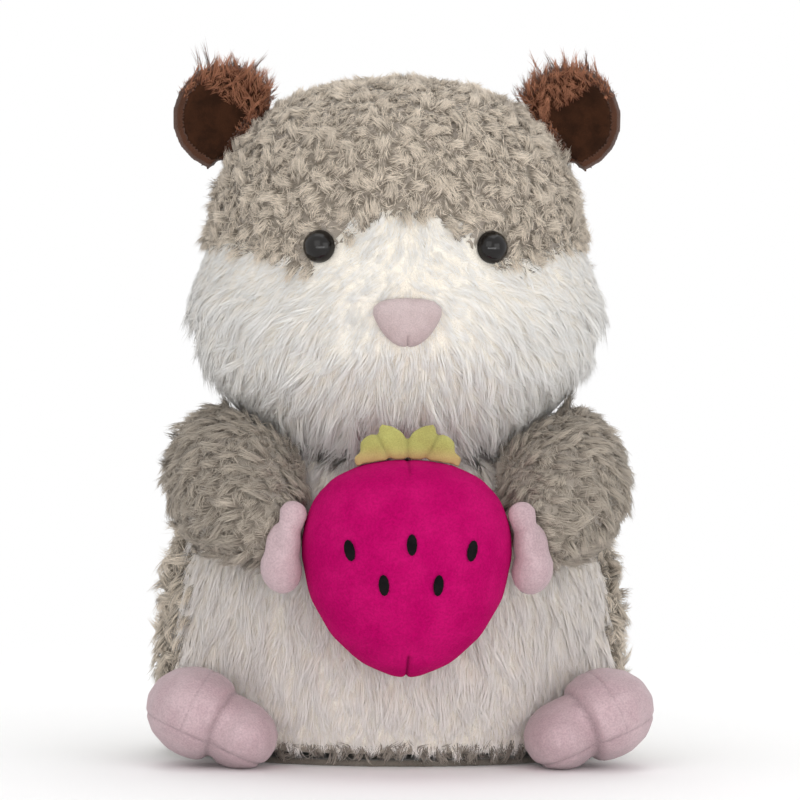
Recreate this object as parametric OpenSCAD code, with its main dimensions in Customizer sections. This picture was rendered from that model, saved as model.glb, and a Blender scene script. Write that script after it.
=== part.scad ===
// Seated plush hamster that hugs a plush fruit. A sound box sits behind a flap in its back
// and a press switch sits in its tummy. Millimetres, +Z up, the face looks along -Y.
// The origin is the middle of the flat underside. Plush is drawn at the middle of its pile.

/* [Body] */
// Half width of the body at its widest ring
body_half_w = 105; // [98:1:114]
// Half depth of the body at its widest ring
body_half_d = 82; // [76:1:92]
// Height of the widest ring
body_mid_z = 45; // [38:1:55]
// Height of the neck seam
body_h = 140; // [136:1:146]
// Half width of the flat underside
base_half_w = 88; // [80:1:94]
// Half depth of the flat underside
base_half_d = 72; // [64:1:75]
// Half width of the body at the neck seam
neck_half_w = 62; // [56:1:68]
// Half depth of the body at the neck seam
neck_half_d = 52; // [47:1:58]
// Height of the grey pad under the belly
base_h = 12; // [8:1:16]
// Thickness of the flat sole panel
sole_t = 3; // [2:0.5:4]
// Angle from the front at which the belly meets the back
belly_seam = 67.5; // [60:0.5:75]

/* [Plush] */
// Thickness of the plush, backing and pile together
plush = 8; // [6:0.5:10]
// Gap between soft pieces that move against each other
soft_gap = 0.5; // [0.4:0.1:0.8]

/* [Head] */
// Height of the head
head_h = 164; // [156:1:172]
// Gap at the neck, between the body and the head
neck_gap = 1; // [0.6:0.1:2]
// Half width of the skull
skull_half_w = 84; // [78:1:90]
// Half depth of the skull
skull_half_d = 76; // [70:1:82]
// Height of the middle of the skull above the neck
skull_z = 84; // [79:1:90]
// Half width of the head at the neck
chin_half_w = 48; // [42:1:52]
// Half depth of the head at the neck
chin_half_d = 46; // [40:1:50]
// How far the cheeks puff out sideways
cheek_out = 12; // [6:0.5:15]
// How far the muzzle puffs out forwards
muzzle_out = 8; // [4:0.5:12]
// Height of the cheeks above the neck
cheek_z = 51; // [46:1:56]
// Height over which the cheeks fade, above and below
cheek_reach = 48; // [42:1:54]
// How far the middle of the head sits in front of the origin
head_forward = 13; // [9:1:17]
// Radius of the stuffed core that joins the head to the body
neck_r = 28; // [24:0.5:30]
// How far that core reaches into the body
neck_depth = 8; // [6:0.5:12]

/* [Face] */
// Height of the pale blaze above the neck
blaze_z = 107; // [102:1:112]
// Height of the seam under the eyes, above the neck
eye_seam_z = 83; // [79:1:85]
// Height of the seam at the sides of the head, above the neck
side_seam_z = 90; // [87:1:96]
// Angle from the front at which the muzzle ends, behind the cheeks
cheek_seam = 110; // [100:1:120]
// Diameter of an eye
eye_d = 14.5; // [12:0.5:16]
// Half the distance between the eyes
eye_x = 39.5; // [37:0.5:43]
// Height of the eyes above the neck
eye_z = 91; // [89:0.5:95]
// How far the back of an eye sits down in the pile
eye_sink = 3; // [2:0.5:4]
// Diameter of an eye's shank
eye_shank_d = 5; // [4:0.5:6]
// Length of an eye's shank
eye_shank_l = 16; // [14:1:18]
// Diameter of the washer that locks the shank
washer_d = 16; // [14:0.5:18]
// Width of the nose
nose_w = 31; // [26:1:36]
// Height of the nose
nose_h = 22; // [18:1:26]
// How far the nose stands out of the pile
nose_out = 6; // [4:0.5:8]
// Height of the middle of the nose above the neck
nose_z = 58; // [53:1:63]

/* [Ears] */
// Radius of an ear's outline
ear_r = 22; // [20:0.5:24]
// Distance from an ear's root to the middle of its outline
ear_reach = 11; // [9:0.5:13]
// Radius of the ball that an ear is cupped round
ear_cup_r = 36; // [32:1:44]
// Thickness of the furry back of an ear
ear_back_t = 5; // [4:0.5:6]
// Thickness of the suede lining of an ear
ear_lining_t = 2; // [1.5:0.25:3]
// Width of the furry rim that shows round the lining
ear_rim = 2.5; // [1.5:0.5:4]
// Height of the ear's root above the neck
ear_z = 138; // [134:1:142]
// Radius of the rolled seam at an ear's root
ear_roll_r = 3.2; // [2.5:0.1:3.5]
// Length of that roll
ear_roll_l = 32; // [28:1:36]
// How far an ear folds forwards and back, in degrees
ear_fold = 18; // [12:1:22]

/* [Arms] */
// Radius of a sleeve at the shoulder
shoulder_r = 34; // [31:1:36]
// Radius of a sleeve at the elbow
elbow_r = 34; // [31:1:36]
// Radius of a sleeve at the wrist
wrist_r = 21; // [18:1:23]
// How far the shoulder is below the neck seam
shoulder_drop = 11; // [7:1:16]
// How far the shoulder sits inside the body's side
shoulder_sink = 11; // [8:1:14]
// Half width of a palm
paw_half_w = 9.5; // [8:0.5:11]
// Half the height of a palm
paw_half_h = 11.5; // [10:0.5:13]
// Half depth of a palm
paw_half_d = 13; // [11:0.5:15]
// Half width of a paw's waist, between palm and thumb
waist_half_w = 6.5; // [5:0.5:7]
// Radius of a thumb
thumb_r = 7.2; // [6:0.1:8.5]
// How far the middle of a thumb is above the middle of the palm
thumb_rise = 23; // [20:0.5:25]
// How far the middle of a palm is below the fruit's widest ring
paw_drop = 6; // [3:0.5:9]

/* [Feet] */
// Half width of the outer lobe of a foot
heel_half_w = 23; // [20:0.5:26]
// Half the height of the outer lobe
heel_half_h = 20; // [17:0.5:22]
// Half width of the inner lobe, the toes
toe_half_w = 17; // [14:0.5:19]
// Half the height of the inner lobe
toe_half_h = 15; // [12:0.5:17]
// Half the length of a foot
foot_half_l = 34; // [30:1:38]
// How far the middle of a foot's outer lobe is inside the body's side
foot_in = 14; // [12:1:20]
// How far a foot stands out in front of the body
foot_out = 67; // [60:1:70]
// How far the outer side of a foot is tipped up, in degrees
foot_tilt = 20; // [10:1:25]

/* [Fruit] */
// Half width of the fruit
fruit_half_w = 47; // [42:0.5:50]
// Half depth of the fruit
fruit_half_d = 36; // [31:0.5:40]
// How far the fruit's top is below the neck seam
fruit_drop = 1; // [0:0.5:4]
// Height of the fruit above its widest ring
fruit_upper = 42; // [38:1:45]
// Height of the fruit below its widest ring
fruit_lower = 55; // [50:1:58]
// How far the fruit is pressed into the belly's pile
fruit_sink = 9; // [6:0.5:12]
// Length of an embroidered seed
seed_l = 9.5; // [7:0.5:11]
// Width of an embroidered seed
seed_w = 4.6; // [3.5:0.1:5.5]
// How far the thread stands out of the fruit
seed_out = 0.9; // [0.6:0.1:1.2]
// Length of a leaf of the crown
leaf_l = 25; // [22:1:28]
// Width of a leaf of the crown
leaf_w = 15; // [12:0.5:17]
// Thickness of the crown
leaf_t = 4; // [3:0.5:6]

/* [Back flap] */
// Height of the flap's lower edge
flap_z0 = 26; // [22:1:28]
// How far the flap's upper edge, where it hinges, is above the middle of the sound box
flap_rise = 39; // [38:0.5:43]
// Angle from the middle of the back to the flap's sides
flap_half_angle = 22.5; // [22:0.5:25]
// Height of the hook and loop strips
strip_h = 8; // [6:0.5:9]
// Thickness of one strip
strip_t = 1.2; // [1:0.1:1.6]

/* [Sound box] */
// Width of the box
box_w = 60; // [58:1:64]
// Height of the box
box_h = 68; // [66:1:70]
// Depth of the front shell
front_d = 15; // [14:0.5:17]
// Depth of the rear shell
rear_d = 14; // [13.5:0.5:15]
// Wall of both shells
box_wall = 2; // [1.6:0.1:2.2]
// Radius of the box's corners
box_r = 6; // [5:0.5:7]
// How far the middle of the box is above the middle of the body's height
box_lift = 3; // [2:0.5:5]
// Gap between the box's rear corners and the inside of the flap
box_back_gap = 4; // [3:0.5:6]
// Diameter of a cell
cell_d = 10.5; // [10:0.1:10.8]
// Length of a cell
cell_l = 44.5; // [43:0.5:45]
// Clearance between hard pieces that seat in one another
hard_gap = 0.3; // [0.2:0.05:0.4]
// Diameter of the speaker
speaker_d = 36; // [32:1:38]
// Travel of the power slider
slider_travel = 4; // [3:0.5:5]

/* [Press switch] */
// Diameter of the switch's base
press_d = 32; // [30:1:34]
// Depth of the switch's base
press_base_d = 10; // [9:0.5:12]
// How far the switch is above the middle of the sound box
press_lift = 19; // [19:0.5:21]
// Travel of the button
press_travel = 2.5; // [2:0.25:3]
// Diameter of the spring's wire
spring_wire = 0.9; // [0.7:0.1:1.1]
// Turns of the spring
spring_turns = 5; // [4:1:6]
// Diameter of the lead to the box
lead_d = 3; // [2.4:0.2:3.6]

/* [Hidden] */
$fn = 48;

// Colours of the toy
grey_fur = [0.59, 0.55, 0.50];
cream_fur = [0.93, 0.91, 0.87];
pink_velour = [0.85, 0.68, 0.72];
rust_fur = [0.47, 0.26, 0.16];
brown_suede = [0.27, 0.15, 0.08];
magenta_velour = [0.85, 0.0, 0.43];
leaf_green = [0.70, 0.75, 0.30];
white_wool = [0.95, 0.95, 0.93];
black_gloss = [0.03, 0.03, 0.03];
white_shell = [0.88, 0.88, 0.86];
dark_shell = [0.16, 0.16, 0.17];
steel = [0.70, 0.71, 0.73];
board_green = [0.10, 0.35, 0.20];

// Columns and rows of the woven grids that the soft forms are drawn on
belly_cols = 12;
side_cols = 7;
flap_cols = 4;
face_cols = 22;
nape_cols = 14;
tube_cols = 18;
lobe_cols = 14;
ear_cols = 18;
fruit_cols = 28;
seam_rows = 5;
cap_rows = 6;
overlap = 1;
far = 300;

// Rounded growth from 1 at u = 0 to 0 at u = 1, squarer as n rises
function swell(u, n = 2) = pow(max(0, 1 - pow(abs(u), n)), 1 / n);
function smooth(u) = let (v = min(1, max(0, u))) v * v * (3 - 2 * v);
function mix(a, b, u) = a + (b - a) * u;
function unit(v) = v / norm(v);
function flat(rows) = [for (row = rows) for (p = row) p];
function span(a, b, n) = [for (i = [0:n - 1]) mix(a, b, i / n)];

// Body: quarter ovals from the underside to the widest ring and on to the neck
function body_size(z, low, mid, high) = z < body_mid_z
    ? low + (mid - low) * swell((body_mid_z - z) / body_mid_z)
    : high + (mid - high) * swell((z - body_mid_z) / (body_h - body_mid_z));
function body_w(z) = body_size(z, base_half_w, body_half_w, neck_half_w);
function body_d(z) = body_size(z, base_half_d, body_half_d, neck_half_d);
function body_point(t, z, inset = 0) =
    [(body_w(z) - inset) * sin(t), (inset - body_d(z)) * cos(t), z];
// Where the body's front surface is, at a side distance and a height
function body_front(x, z) = -body_d(z) * swell(x / body_w(z));
// Angles from the front, with a column on each seam of the belly and each side of the flap
box_z = body_h / 2 + box_lift;
flap_z1 = box_z + flap_rise;
flap_side = 180 - flap_half_angle;
body_ts = concat(span(-belly_seam, belly_seam, belly_cols), span(belly_seam, flap_side, side_cols),
    span(flap_side, 360 - flap_side, flap_cols), span(360 - flap_side, 360 - belly_seam, side_cols));
flap_from = belly_cols + side_cols;
flap_steps = 4;
pad_rows = [for (k = [0:2]) mix(sole_t, base_h, 1 - cos(45 * k))];
body_rows = concat([base_h], [for (k = [0:flap_steps]) mix(flap_z0, flap_z1, k / flap_steps)],
    [for (k = [1:3]) mix(flap_z1, body_h, sin(30 * k))]);
function body_grid(rows, inset) = [for (z = rows) [for (t = body_ts) body_point(t, z, inset)]];

// Head: a skull with puffed cheeks and muzzle
head_z0 = body_h + neck_gap;
head_top = head_z0 + head_h;
head_y = -head_forward;
skull_mid = head_z0 + skull_z;
skull_square = 2.4;
head_inner = 1 - plush / skull_half_w;
function skull_size(z, low, mid) = z < skull_mid
    ? low + (mid - low) * swell((skull_mid - z) / skull_z)
    : mid * swell((z - skull_mid) / (head_h - skull_z), skull_square);
function puff(z) = pow(max(0, 1 - pow((z - head_z0 - cheek_z) / cheek_reach, 2)), 2);
function head_w(z) = skull_size(z, chin_half_w, skull_half_w) + cheek_out * puff(z);
function head_d(z, t) = skull_size(z, chin_half_d, skull_half_d) + (cos(t) > 0 ? muzzle_out * puff(z) : 0);
head_middle = [0, head_y, skull_mid];
function shrunk(p, k) = head_middle + k * (p - head_middle);
function head_point(t, z, k) = shrunk([head_w(z) * sin(t), head_y - head_d(z, t) * cos(t), z], k);
function head_front(x, z) = head_y - head_d(z, 0) * swell(x / head_w(z));
// Height of the seam between the muzzle and the cap, by the angle from the front
blaze_edge = 13;
eye_edge = 27;
eye_seam_end = 36;
side_seam_start = 62;
function seam_z(t) = head_z0 + (t < eye_edge
    ? mix(blaze_z, eye_seam_z, smooth((t - blaze_edge) / (eye_edge - blaze_edge)))
    : mix(eye_seam_z, side_seam_z, smooth((t - eye_seam_end) / (side_seam_start - eye_seam_end))));
head_ts = concat(span(-cheek_seam, cheek_seam, face_cols), span(cheek_seam, 360 - cheek_seam, nape_cols));
top_share = 0.985;
head_pole = [0, head_y, head_top];
function head_row_z(t, j) = let (s = seam_z(min(abs(t), 360 - t))) j <= seam_rows
    ? head_z0 + (s - head_z0) * (1 - cos(90 * j / seam_rows))
    : mix(s, head_z0 + top_share * head_h, sin(90 * (j - seam_rows) / cap_rows));
function head_grid(k) = [for (j = [0:seam_rows + cap_rows])
    [for (t = head_ts) head_point(t, head_row_z(t, j), k)]];

// Triangles of a closed loft through rings of n points, with a point at each end
function loft_faces(n, rows) = concat(
    [for (j = [0:rows - 2]) for (i = [0:n - 1]) let (a = j * n + i, b = j * n + (i + 1) % n)
        each [[a, b + n, b], [a, a + n, b + n]]],
    [for (i = [0:n - 1]) [i, (i + 1) % n, n * rows]],
    [for (i = [0:n - 1]) let (top = n * (rows - 1)) [top + i, n * rows + 1, top + (i + 1) % n]]);
module loft(rings, low, high) {
    polyhedron(concat(flat(rings), [low, high]), loft_faces(len(rings[0]), len(rings)), convexity = 6);
}

// A sheet with thickness between an outer and an inner grid, made of the cells that keep marks.
// With two poles, the last row of each grid closes in a point.
function sheet_faces(n, m, keep, closed) = let (inner = n * (m + 1)) [
    for (j = [0:m - 1]) for (i = [0:n - 1]) if (keep[j][i]) let (
        next = (i + 1) % n,
        a = j * n + i, b = j * n + next, c = b + n, d = a + n,
        p = a + inner, q = b + inner, r = c + inner, s = d + inner)
    each concat(
        [[a, c, b], [a, d, c], [p, q, r], [p, r, s]],
        keep[j][(i + n - 1) % n] ? [] : [[d, a, s], [a, p, s]],
        keep[j][next] ? [] : [[b, c, r], [b, r, q]],
        j > 0 && keep[j - 1][i] ? [] : [[a, b, q], [a, q, p]],
        (j == m - 1 ? closed : keep[j + 1][i]) ? [] : [[c, d, r], [d, s, r]])];
function pole_faces(n, m) = let (inner = n * (m + 1), pole = 2 * inner) [
    for (i = [0:n - 1]) let (a = m * n + i, b = m * n + (i + 1) % n)
    each [[a, pole, b], [a + inner, b + inner, pole + 1]]];
module sheet(outer, inner, keep, poles = []) {
    n = len(outer[0]);
    m = len(outer) - 1;
    closed = len(poles) > 0;
    polyhedron(concat(flat(outer), flat(inner), poles),
        concat(sheet_faces(n, m, keep, closed), closed ? pole_faces(n, m) : []), convexity = 8);
}

// A patch of the body between two angles, two depths and the heights in rows
module body_patch(t0, t1, rows, deep0, deep1) {
    ts = concat(span(t0, t1, flap_cols), [t1]);
    outer = [for (z = rows) [for (t = ts) body_point(t, z, deep0)]];
    inner = [for (z = rows) [for (t = ts) body_point(t, z, deep1)]];
    keep = [for (j = [0:len(rows) - 2]) [for (i = [0:flap_cols]) i < flap_cols]];
    sheet(outer, inner, keep);
}

// Solid body and head, for cutting what lies against them
module body_form(grow = 0) {
    rows = concat([0], pad_rows, [for (k = [1:len(body_rows) - 1]) body_rows[k]]);
    loft(body_grid(rows, -grow), [0, 0, -grow], [0, 0, body_h + grow]);
}
module head_form() {
    loft(head_grid(1), [0, head_y, head_z0], head_pole);
}
// The room that the head sweeps as it turns: round rings as wide as the cheeks, drawn outside that circle
sweep_rows = 9;
sweep_step = 10;
module head_sweep(grow) {
    rings = [for (j = [0:sweep_rows]) let (
        z = head_z0 + skull_z * (1 - cos(90 * j / sweep_rows)),
        r = (head_w(z) + grow) / cos(sweep_step / 2))
        [for (t = [0:sweep_step:359]) [r * sin(t), head_y - r * cos(t), z - grow]]];
    loft(rings, [0, head_y, head_z0 - grow], [0, head_y, skull_mid - grow]);
}

// A stuffed tube along a bent line from a by way of c to b, with radii ra, rc and rb and round ends
function ring_angles(n) = [for (i = [0:n - 1]) 360 * i / n];
function bend(a, c, b, t) = a * (1 - t) * (1 - t) + c * 2 * t * (1 - t) + b * t * t;
function bend_way(a, c, b, t) = unit((c - a) * (1 - t) + (b - c) * t);
function through(a, m, b) = 2 * m - (a + b) / 2;
function hoop(p, way, r) = let (u = unit(cross(way, [0, 0, 1])), v = cross(way, u))
    [for (t = ring_angles(tube_cols)) p + r * (u * cos(t) + v * sin(t))];
module stuffed_tube(a, c, b, ra, rc, rb) {
    steps = 7;
    ends = [60, 30];
    first = bend_way(a, c, b, 0);
    last = bend_way(a, c, b, 1);
    rings = concat(
        [for (e = ends) hoop(a - first * ra * sin(e), first, ra * cos(e))],
        [for (k = [0:steps]) let (t = k / steps)
            hoop(bend(a, c, b, t), bend_way(a, c, b, t), bend(ra, rc, rb, t))],
        [for (k = [1, 0]) hoop(b + last * rb * sin(ends[k]), last, rb * cos(ends[k]))]);
    loft(rings, a - first * ra, b + last * rb);
}

// A stuffed egg with half sizes s
module lobe(s) {
    rings = [for (e = [-72, -48, -24, 0, 24, 48, 72])
        [for (t = ring_angles(lobe_cols)) [s.x * cos(e) * cos(t), s.y * cos(e) * sin(t), s.z * sin(e)]]];
    loft(rings, [0, 0, -s.z], [0, 0, s.z]);
}

// Fruit: squarer above its widest ring, pointed below
fruit_top_z = body_h - fruit_drop;
fruit_mid_z = fruit_top_z - fruit_upper;
fruit_tip_z = fruit_mid_z - fruit_lower;
fruit_y = body_front(0, fruit_mid_z) - fruit_half_d + fruit_sink;
fruit_square = 2.5;
fruit_point = 1.8;
function fruit_share(z) = z > fruit_mid_z
    ? swell((z - fruit_mid_z) / fruit_upper, fruit_square)
    : swell((fruit_mid_z - z) / fruit_lower, fruit_point);
module fruit_form(grow = 0) {
    zs = concat([for (e = [80, 60, 40, 20, 0]) fruit_mid_z - fruit_lower * sin(e)],
        [for (e = [18, 36, 54, 72, 84]) fruit_mid_z + fruit_upper * sin(e)]);
    rings = [for (z = zs) let (k = fruit_share(z)) [for (t = ring_angles(fruit_cols))
        [(fruit_half_w * k + grow) * sin(t), fruit_y - (fruit_half_d * k + grow) * cos(t), z]]];
    loft(rings, [0, fruit_y, fruit_tip_z - grow], [0, fruit_y, fruit_top_z + grow]);
}

// Left is the -X side: the modules of a pair draw the +X side
module on_side(side) {
    if (side > 0) children();
    else mirror([1, 0, 0]) children();
}

module body_filling() {
    pocket_w = box_w + 2 * soft_gap;
    recess_w = 2 * (body_half_w * sin(flap_half_angle) + overlap);
    press_pocket = press_d + 2 * soft_gap;
    press_back = press_base_y + press_base_d;
    color(white_wool) difference() {
        loft(body_grid(body_rows, plush), [0, 0, base_h], [0, 0, body_h]);
        translate([-pocket_w / 2, box_front_y, box_low_z]) cube([pocket_w, far, box_h + soft_gap]);
        translate([-recess_w / 2, box_rear_y - overlap, box_low_z])
            cube([recess_w, far, flap_z1 + overlap - box_low_z]);
        translate([-press_pocket / 2, press_back - far, press_z - press_d / 2])
            cube([press_pocket, far, press_d + soft_gap]);
        on_press(press_base_y) cylinder(r = lead_d / 2 + soft_gap, h = box_front_y - press_base_y);
        translate([0, head_y, body_h - neck_depth - soft_gap])
            cylinder(r = neck_r + soft_gap, h = neck_depth + soft_gap + overlap);
        strip_room();
    }
}

// Both closure strips lie in one shallow recess of the filling, under the flap's lower edge
strip_edge = 2;
strip_z0 = flap_z0 + strip_edge;
strip_angle = flap_half_angle - 8;
loop_deep = plush + strip_t + soft_gap;
module strip(deep0, deep1, grow = 0) {
    rows = [strip_z0 - grow, strip_z0 + strip_h + grow];
    body_patch(180 - strip_angle - grow, 180 + strip_angle + grow, rows, deep0, deep1);
}
module strip_room() {
    strip(plush - overlap, loop_deep + strip_t, soft_gap);
}
module hook_strip() {
    color(dark_shell) difference() {
        strip(plush - overlap, plush + strip_t);
        flap_form();
    }
}
module loop_strip() {
    color(dark_shell) intersection() {
        strip(loop_deep, loop_deep + strip_t + overlap);
        strip_room();
    }
}

module sole() {
    color(grey_fur) linear_extrude(sole_t) polygon([for (p = body_grid([0], 0)[0]) [p.x, p.y]]);
}
module base_pad() {
    color(grey_fur) loft(body_grid(pad_rows, 0), [0, 0, sole_t], [0, 0, base_h]);
}

// The back's cells leave a window for the flap
function in_flap(i, j) = i >= flap_from && i < flap_from + flap_cols && j >= 1 && j <= flap_steps;
module body_skin(keep) {
    sheet(body_grid(body_rows, 0), body_grid(body_rows, plush), keep);
}
module back_plush() {
    color(grey_fur) body_skin([for (j = [0:len(body_rows) - 2]) [for (i = [0:len(body_ts) - 1])
        i >= belly_cols && !in_flap(i, j)]]);
}
module belly_plush() {
    color(cream_fur) body_skin([for (j = [0:len(body_rows) - 2]) [for (i = [0:len(body_ts) - 1])
        i < belly_cols]]);
}
module flap_form() {
    margin = soft_gap / (body_half_w * PI / 180);
    rows = [for (k = [0:flap_steps]) mix(flap_z0 + soft_gap, flap_z1 - soft_gap, k / flap_steps)];
    body_patch(flap_side + margin, 360 - flap_side - margin, rows, 0, plush - soft_gap);
}
module back_flap() {
    color(grey_fur) flap_form();
}

// Eyes sit along the head's own slope, square to its pile
eye_y = head_front(eye_x, head_z0 + eye_z);
eye_turn = 24;
eye_lift = 6;
module at_eye(side) {
    on_side(side) translate([eye_x, eye_y, head_z0 + eye_z]) rotate([90 - eye_lift, 0, eye_turn])
        translate([0, 0, -eye_sink]) children();
}
eye_seat = eye_d / 2 + soft_gap;
eye_rim = 0.8;
eye_bulge = 0.42;
washer_t = 2;
washer_play = 1.2;
washer_z = eye_sink - plush - washer_play;
module eye_room(side) {
    at_eye(side) cylinder(r = eye_seat, h = far / 3);
    at_eye(side) translate([0, 0, -eye_shank_l - soft_gap])
        cylinder(r = eye_shank_d / 2 + hard_gap, h = eye_shank_l + overlap);
}
module washer_room(side) {
    at_eye(side) translate([0, 0, washer_z - washer_t - soft_gap])
        cylinder(r = washer_d / 2 + soft_gap, h = washer_t + plush);
}
module eye(side) {
    dome = eye_d * eye_bulge;
    color(black_gloss) at_eye(side) {
        rotate_extrude() intersection() {
            translate([0, eye_rim]) low_dome(eye_d / 2, dome);
            square([eye_d, eye_d]);
        }
        cylinder(d = eye_d, h = eye_rim);
        translate([0, 0, -eye_shank_l]) cylinder(d = eye_shank_d, h = eye_shank_l);
    }
}
// Half of a low dome: the part of a large circle that stands above its chord
module low_dome(r, h) {
    ball = (r * r + h * h) / (2 * h);
    translate([0, h - ball]) circle(ball);
}
module eye_left() { eye(-1); }
module eye_right() { eye(1); }
module eye_washers() {
    color(white_shell) for (side = [-1, 1]) at_eye(side) translate([0, 0, washer_z - washer_t]) difference() {
        cylinder(d = washer_d, h = washer_t);
        translate([0, 0, -overlap]) cylinder(d = eye_shank_d, h = washer_t + 2 * overlap);
    }
}

// An ear turns about its root, a line along the head's slope. Its own axes are: x down along the root,
// y outwards, z forwards
ear_root_z = head_z0 + ear_z;
ear_step = 4;
ear_slope = atan2(head_w(ear_root_z - ear_step) - head_w(ear_root_z + ear_step), 2 * ear_step);
ear_back_y = 5;
ear_root = [head_w(ear_root_z), head_y + ear_back_y, ear_root_z];
ear_rise = asin(ear_reach / ear_cup_r);
module at_ear(side) {
    on_side(side) translate(ear_root) rotate([0, 90 - ear_slope, 0]) rotate([90, 0, 0]) children();
}
module ear_roll(grow = 0) {
    long = ear_roll_l + 2 * grow;
    translate([-long / 2, 0, 0]) rotate([0, 90, 0]) rotate([0, 0, 15])
        cylinder(r = (ear_roll_r + grow) / cos(15), h = long, $fn = 12);
}
// Where the cup may be: above the head's slope, however far the ear is folded
module fold_room() {
    spare = 2;
    rise = far * tan(ear_fold + spare);
    rotate([90, 0, 90]) linear_extrude(far, center = true)
        polygon([[soft_gap, 0], [soft_gap + rise, far], [far, far], [far, -far], [soft_gap + rise, -far]]);
}
// A round cup from ball radius r0 to r1, cut along the root, with rings at shares of the outline's angle
ear_edge = asin(ear_r / ear_cup_r);
rim_share = asin((ear_r - ear_rim) / ear_cup_r) / ear_edge;
lining_rings = [rim_share / 3, rim_share * 2 / 3, rim_share];
module ear_cup(r0, r1, shares) {
    ball = [0, ear_reach, ear_cup_r * cos(ear_rise)];
    function cup_point(r, e, t) = ball + r * [sin(e) * cos(t), sin(e) * sin(t), -cos(e)];
    function cup_ring(r, share) = [for (t = ring_angles(ear_cols)) cup_point(r, ear_edge * share, t)];
    last = len(shares) - 1;
    grid = concat(
        [for (k = [last:-1:0]) cup_ring(r0, shares[k])],
        [for (k = [0:last]) cup_ring(r1, shares[k])]);
    intersection() {
        cup_shell(grid, cup_point(r0, 0, 0), cup_point(r1, 0, 0));
        fold_room();
    }
}
// The front rings run in from the rim, and the back rings run out to it again
module cup_shell(grid, front, back) {
    n = len(grid[0]);
    half = n * len(grid) / 2;
    joined = concat(
        [for (j = [0:len(grid) - 1]) for (i = [0:n - 1]) if (j * n != half - n) let (
            a = j * n + i, b = j * n + (i + 1) % n, c = (b + n) % (2 * half), d = (a + n) % (2 * half))
            each [[a, c, b], [a, d, c]]],
        [for (i = [0:n - 1]) let (next = (i + 1) % n)
            each [[half - n + i, 2 * half, half - n + next], [half + i, half + next, 2 * half + 1]]]);
    polyhedron(concat(flat(grid), [front, back]), joined, convexity = 6);
}
module ear_back(side) {
    color(rust_fur) at_ear(side) {
        ear_cup(ear_cup_r, ear_cup_r + ear_back_t, concat(lining_rings, [1]));
        ear_roll();
    }
}
module ear_lining(side) {
    color(brown_suede) at_ear(side) difference() {
        ear_cup(ear_cup_r - ear_lining_t, ear_cup_r, lining_rings);
        ear_roll();
    }
}
module ear_back_left() { ear_back(-1); }
module ear_back_right() { ear_back(1); }
module ear_lining_left() { ear_lining(-1); }
module ear_lining_right() { ear_lining(1); }

module head_filling() {
    rings = head_grid(head_inner);
    color(white_wool) difference() {
        loft(rings, shrunk([0, head_y, head_z0], head_inner), shrunk(head_pole, head_inner));
        for (side = [-1, 1]) {
            eye_room(side);
            washer_room(side);
        }
        translate([0, head_y, head_z0 - far]) cylinder(r = neck_r, h = far + 2 * neck_depth);
    }
}
module neck_core() {
    color(white_wool) translate([0, head_y, body_h - neck_depth])
        cylinder(r = neck_r, h = neck_depth + neck_gap + 2 * neck_depth);
}
// The cap is every cell above the seam, and the nape's cells below it
module head_cap() {
    keep = [for (j = [0:seam_rows + cap_rows - 1])
        [for (i = [0:len(head_ts) - 1]) j >= seam_rows || i >= face_cols]];
    color(grey_fur) difference() {
        sheet(head_grid(1), head_grid(head_inner), keep, [head_pole, shrunk(head_pole, head_inner)]);
        for (side = [-1, 1]) {
            eye_room(side);
            at_ear(side) ear_roll(soft_gap);
        }
    }
}
module muzzle() {
    keep = [for (j = [0:seam_rows + cap_rows - 1])
        [for (i = [0:len(head_ts) - 1]) j < seam_rows && i < face_cols]];
    color(cream_fur) difference() {
        sheet(head_grid(1), head_grid(head_inner), keep);
        for (side = [-1, 1]) eye_room(side);
    }
}

// A soft triangle with its point down, domed, pressed on to the muzzle
nose_square = 2.6;
nose_taper = 0.3;
nose_root = 10;
nose_rises = [25, 50, 70];
nose_cols = 20;
function nose_edge(t) = let (
    r = pow(pow(abs(cos(t)), nose_square) + pow(abs(sin(t)), nose_square), -1 / nose_square))
    [r * cos(t) * (1 - nose_taper + nose_taper * sin(t)), r * sin(t)];
nose_span = max([for (t = [0:5:90]) nose_edge(t).x]);
function nose_ring(k, deep) = [for (t = ring_angles(nose_cols)) let (p = nose_edge(t))
    [nose_w / 2 / nose_span * p.x * k, nose_h / 2 * p.y * k, deep]];
module nose() {
    rings = concat([nose_ring(1, -nose_root), nose_ring(1, 0)],
        [for (e = nose_rises) nose_ring(cos(e), nose_out * sin(e))]);
    color(pink_velour) difference() {
        translate([0, head_front(0, head_z0 + nose_z), head_z0 + nose_z]) rotate([90, 0, 0])
            loft(rings, [0, 0, -nose_root], [0, 0, nose_out]);
        head_form();
    }
}

// Arms: from the shoulder round the elbow to the wrist beside the fruit
paw_press = 1;
paw_z = fruit_mid_z - paw_drop;
shoulder_y = -13;
shoulder_z = body_h - shoulder_drop;
wrist_from_paw = [17, 14, 18];
elbow_bend = [-1, -3, -9];
shoulder = [body_w(shoulder_z) - shoulder_sink, shoulder_y, shoulder_z];
wrist = wrist_from_paw + [fruit_half_w, fruit_y, paw_z];
elbow = elbow_bend + [shoulder.x, (shoulder.y + wrist.y) / 2, shoulder_z];
module sleeve_form() {
    stuffed_tube(shoulder, through(shoulder, elbow, wrist), wrist,
        shoulder_r, through(shoulder_r, elbow_r, wrist_r), wrist_r);
}
module sleeve(side) {
    color(grey_fur) on_side(side) difference() {
        sleeve_form();
        body_form(soft_gap);
        head_sweep(soft_gap);
        fruit_form(soft_gap);
    }
}
paw_forward = 2;
paw_lean = 12;
paw = [fruit_half_w + paw_half_w - paw_press, fruit_y - paw_forward, paw_z];
thumb = paw + [-paw_half_w / 2, -paw_press, thumb_rise];
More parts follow.
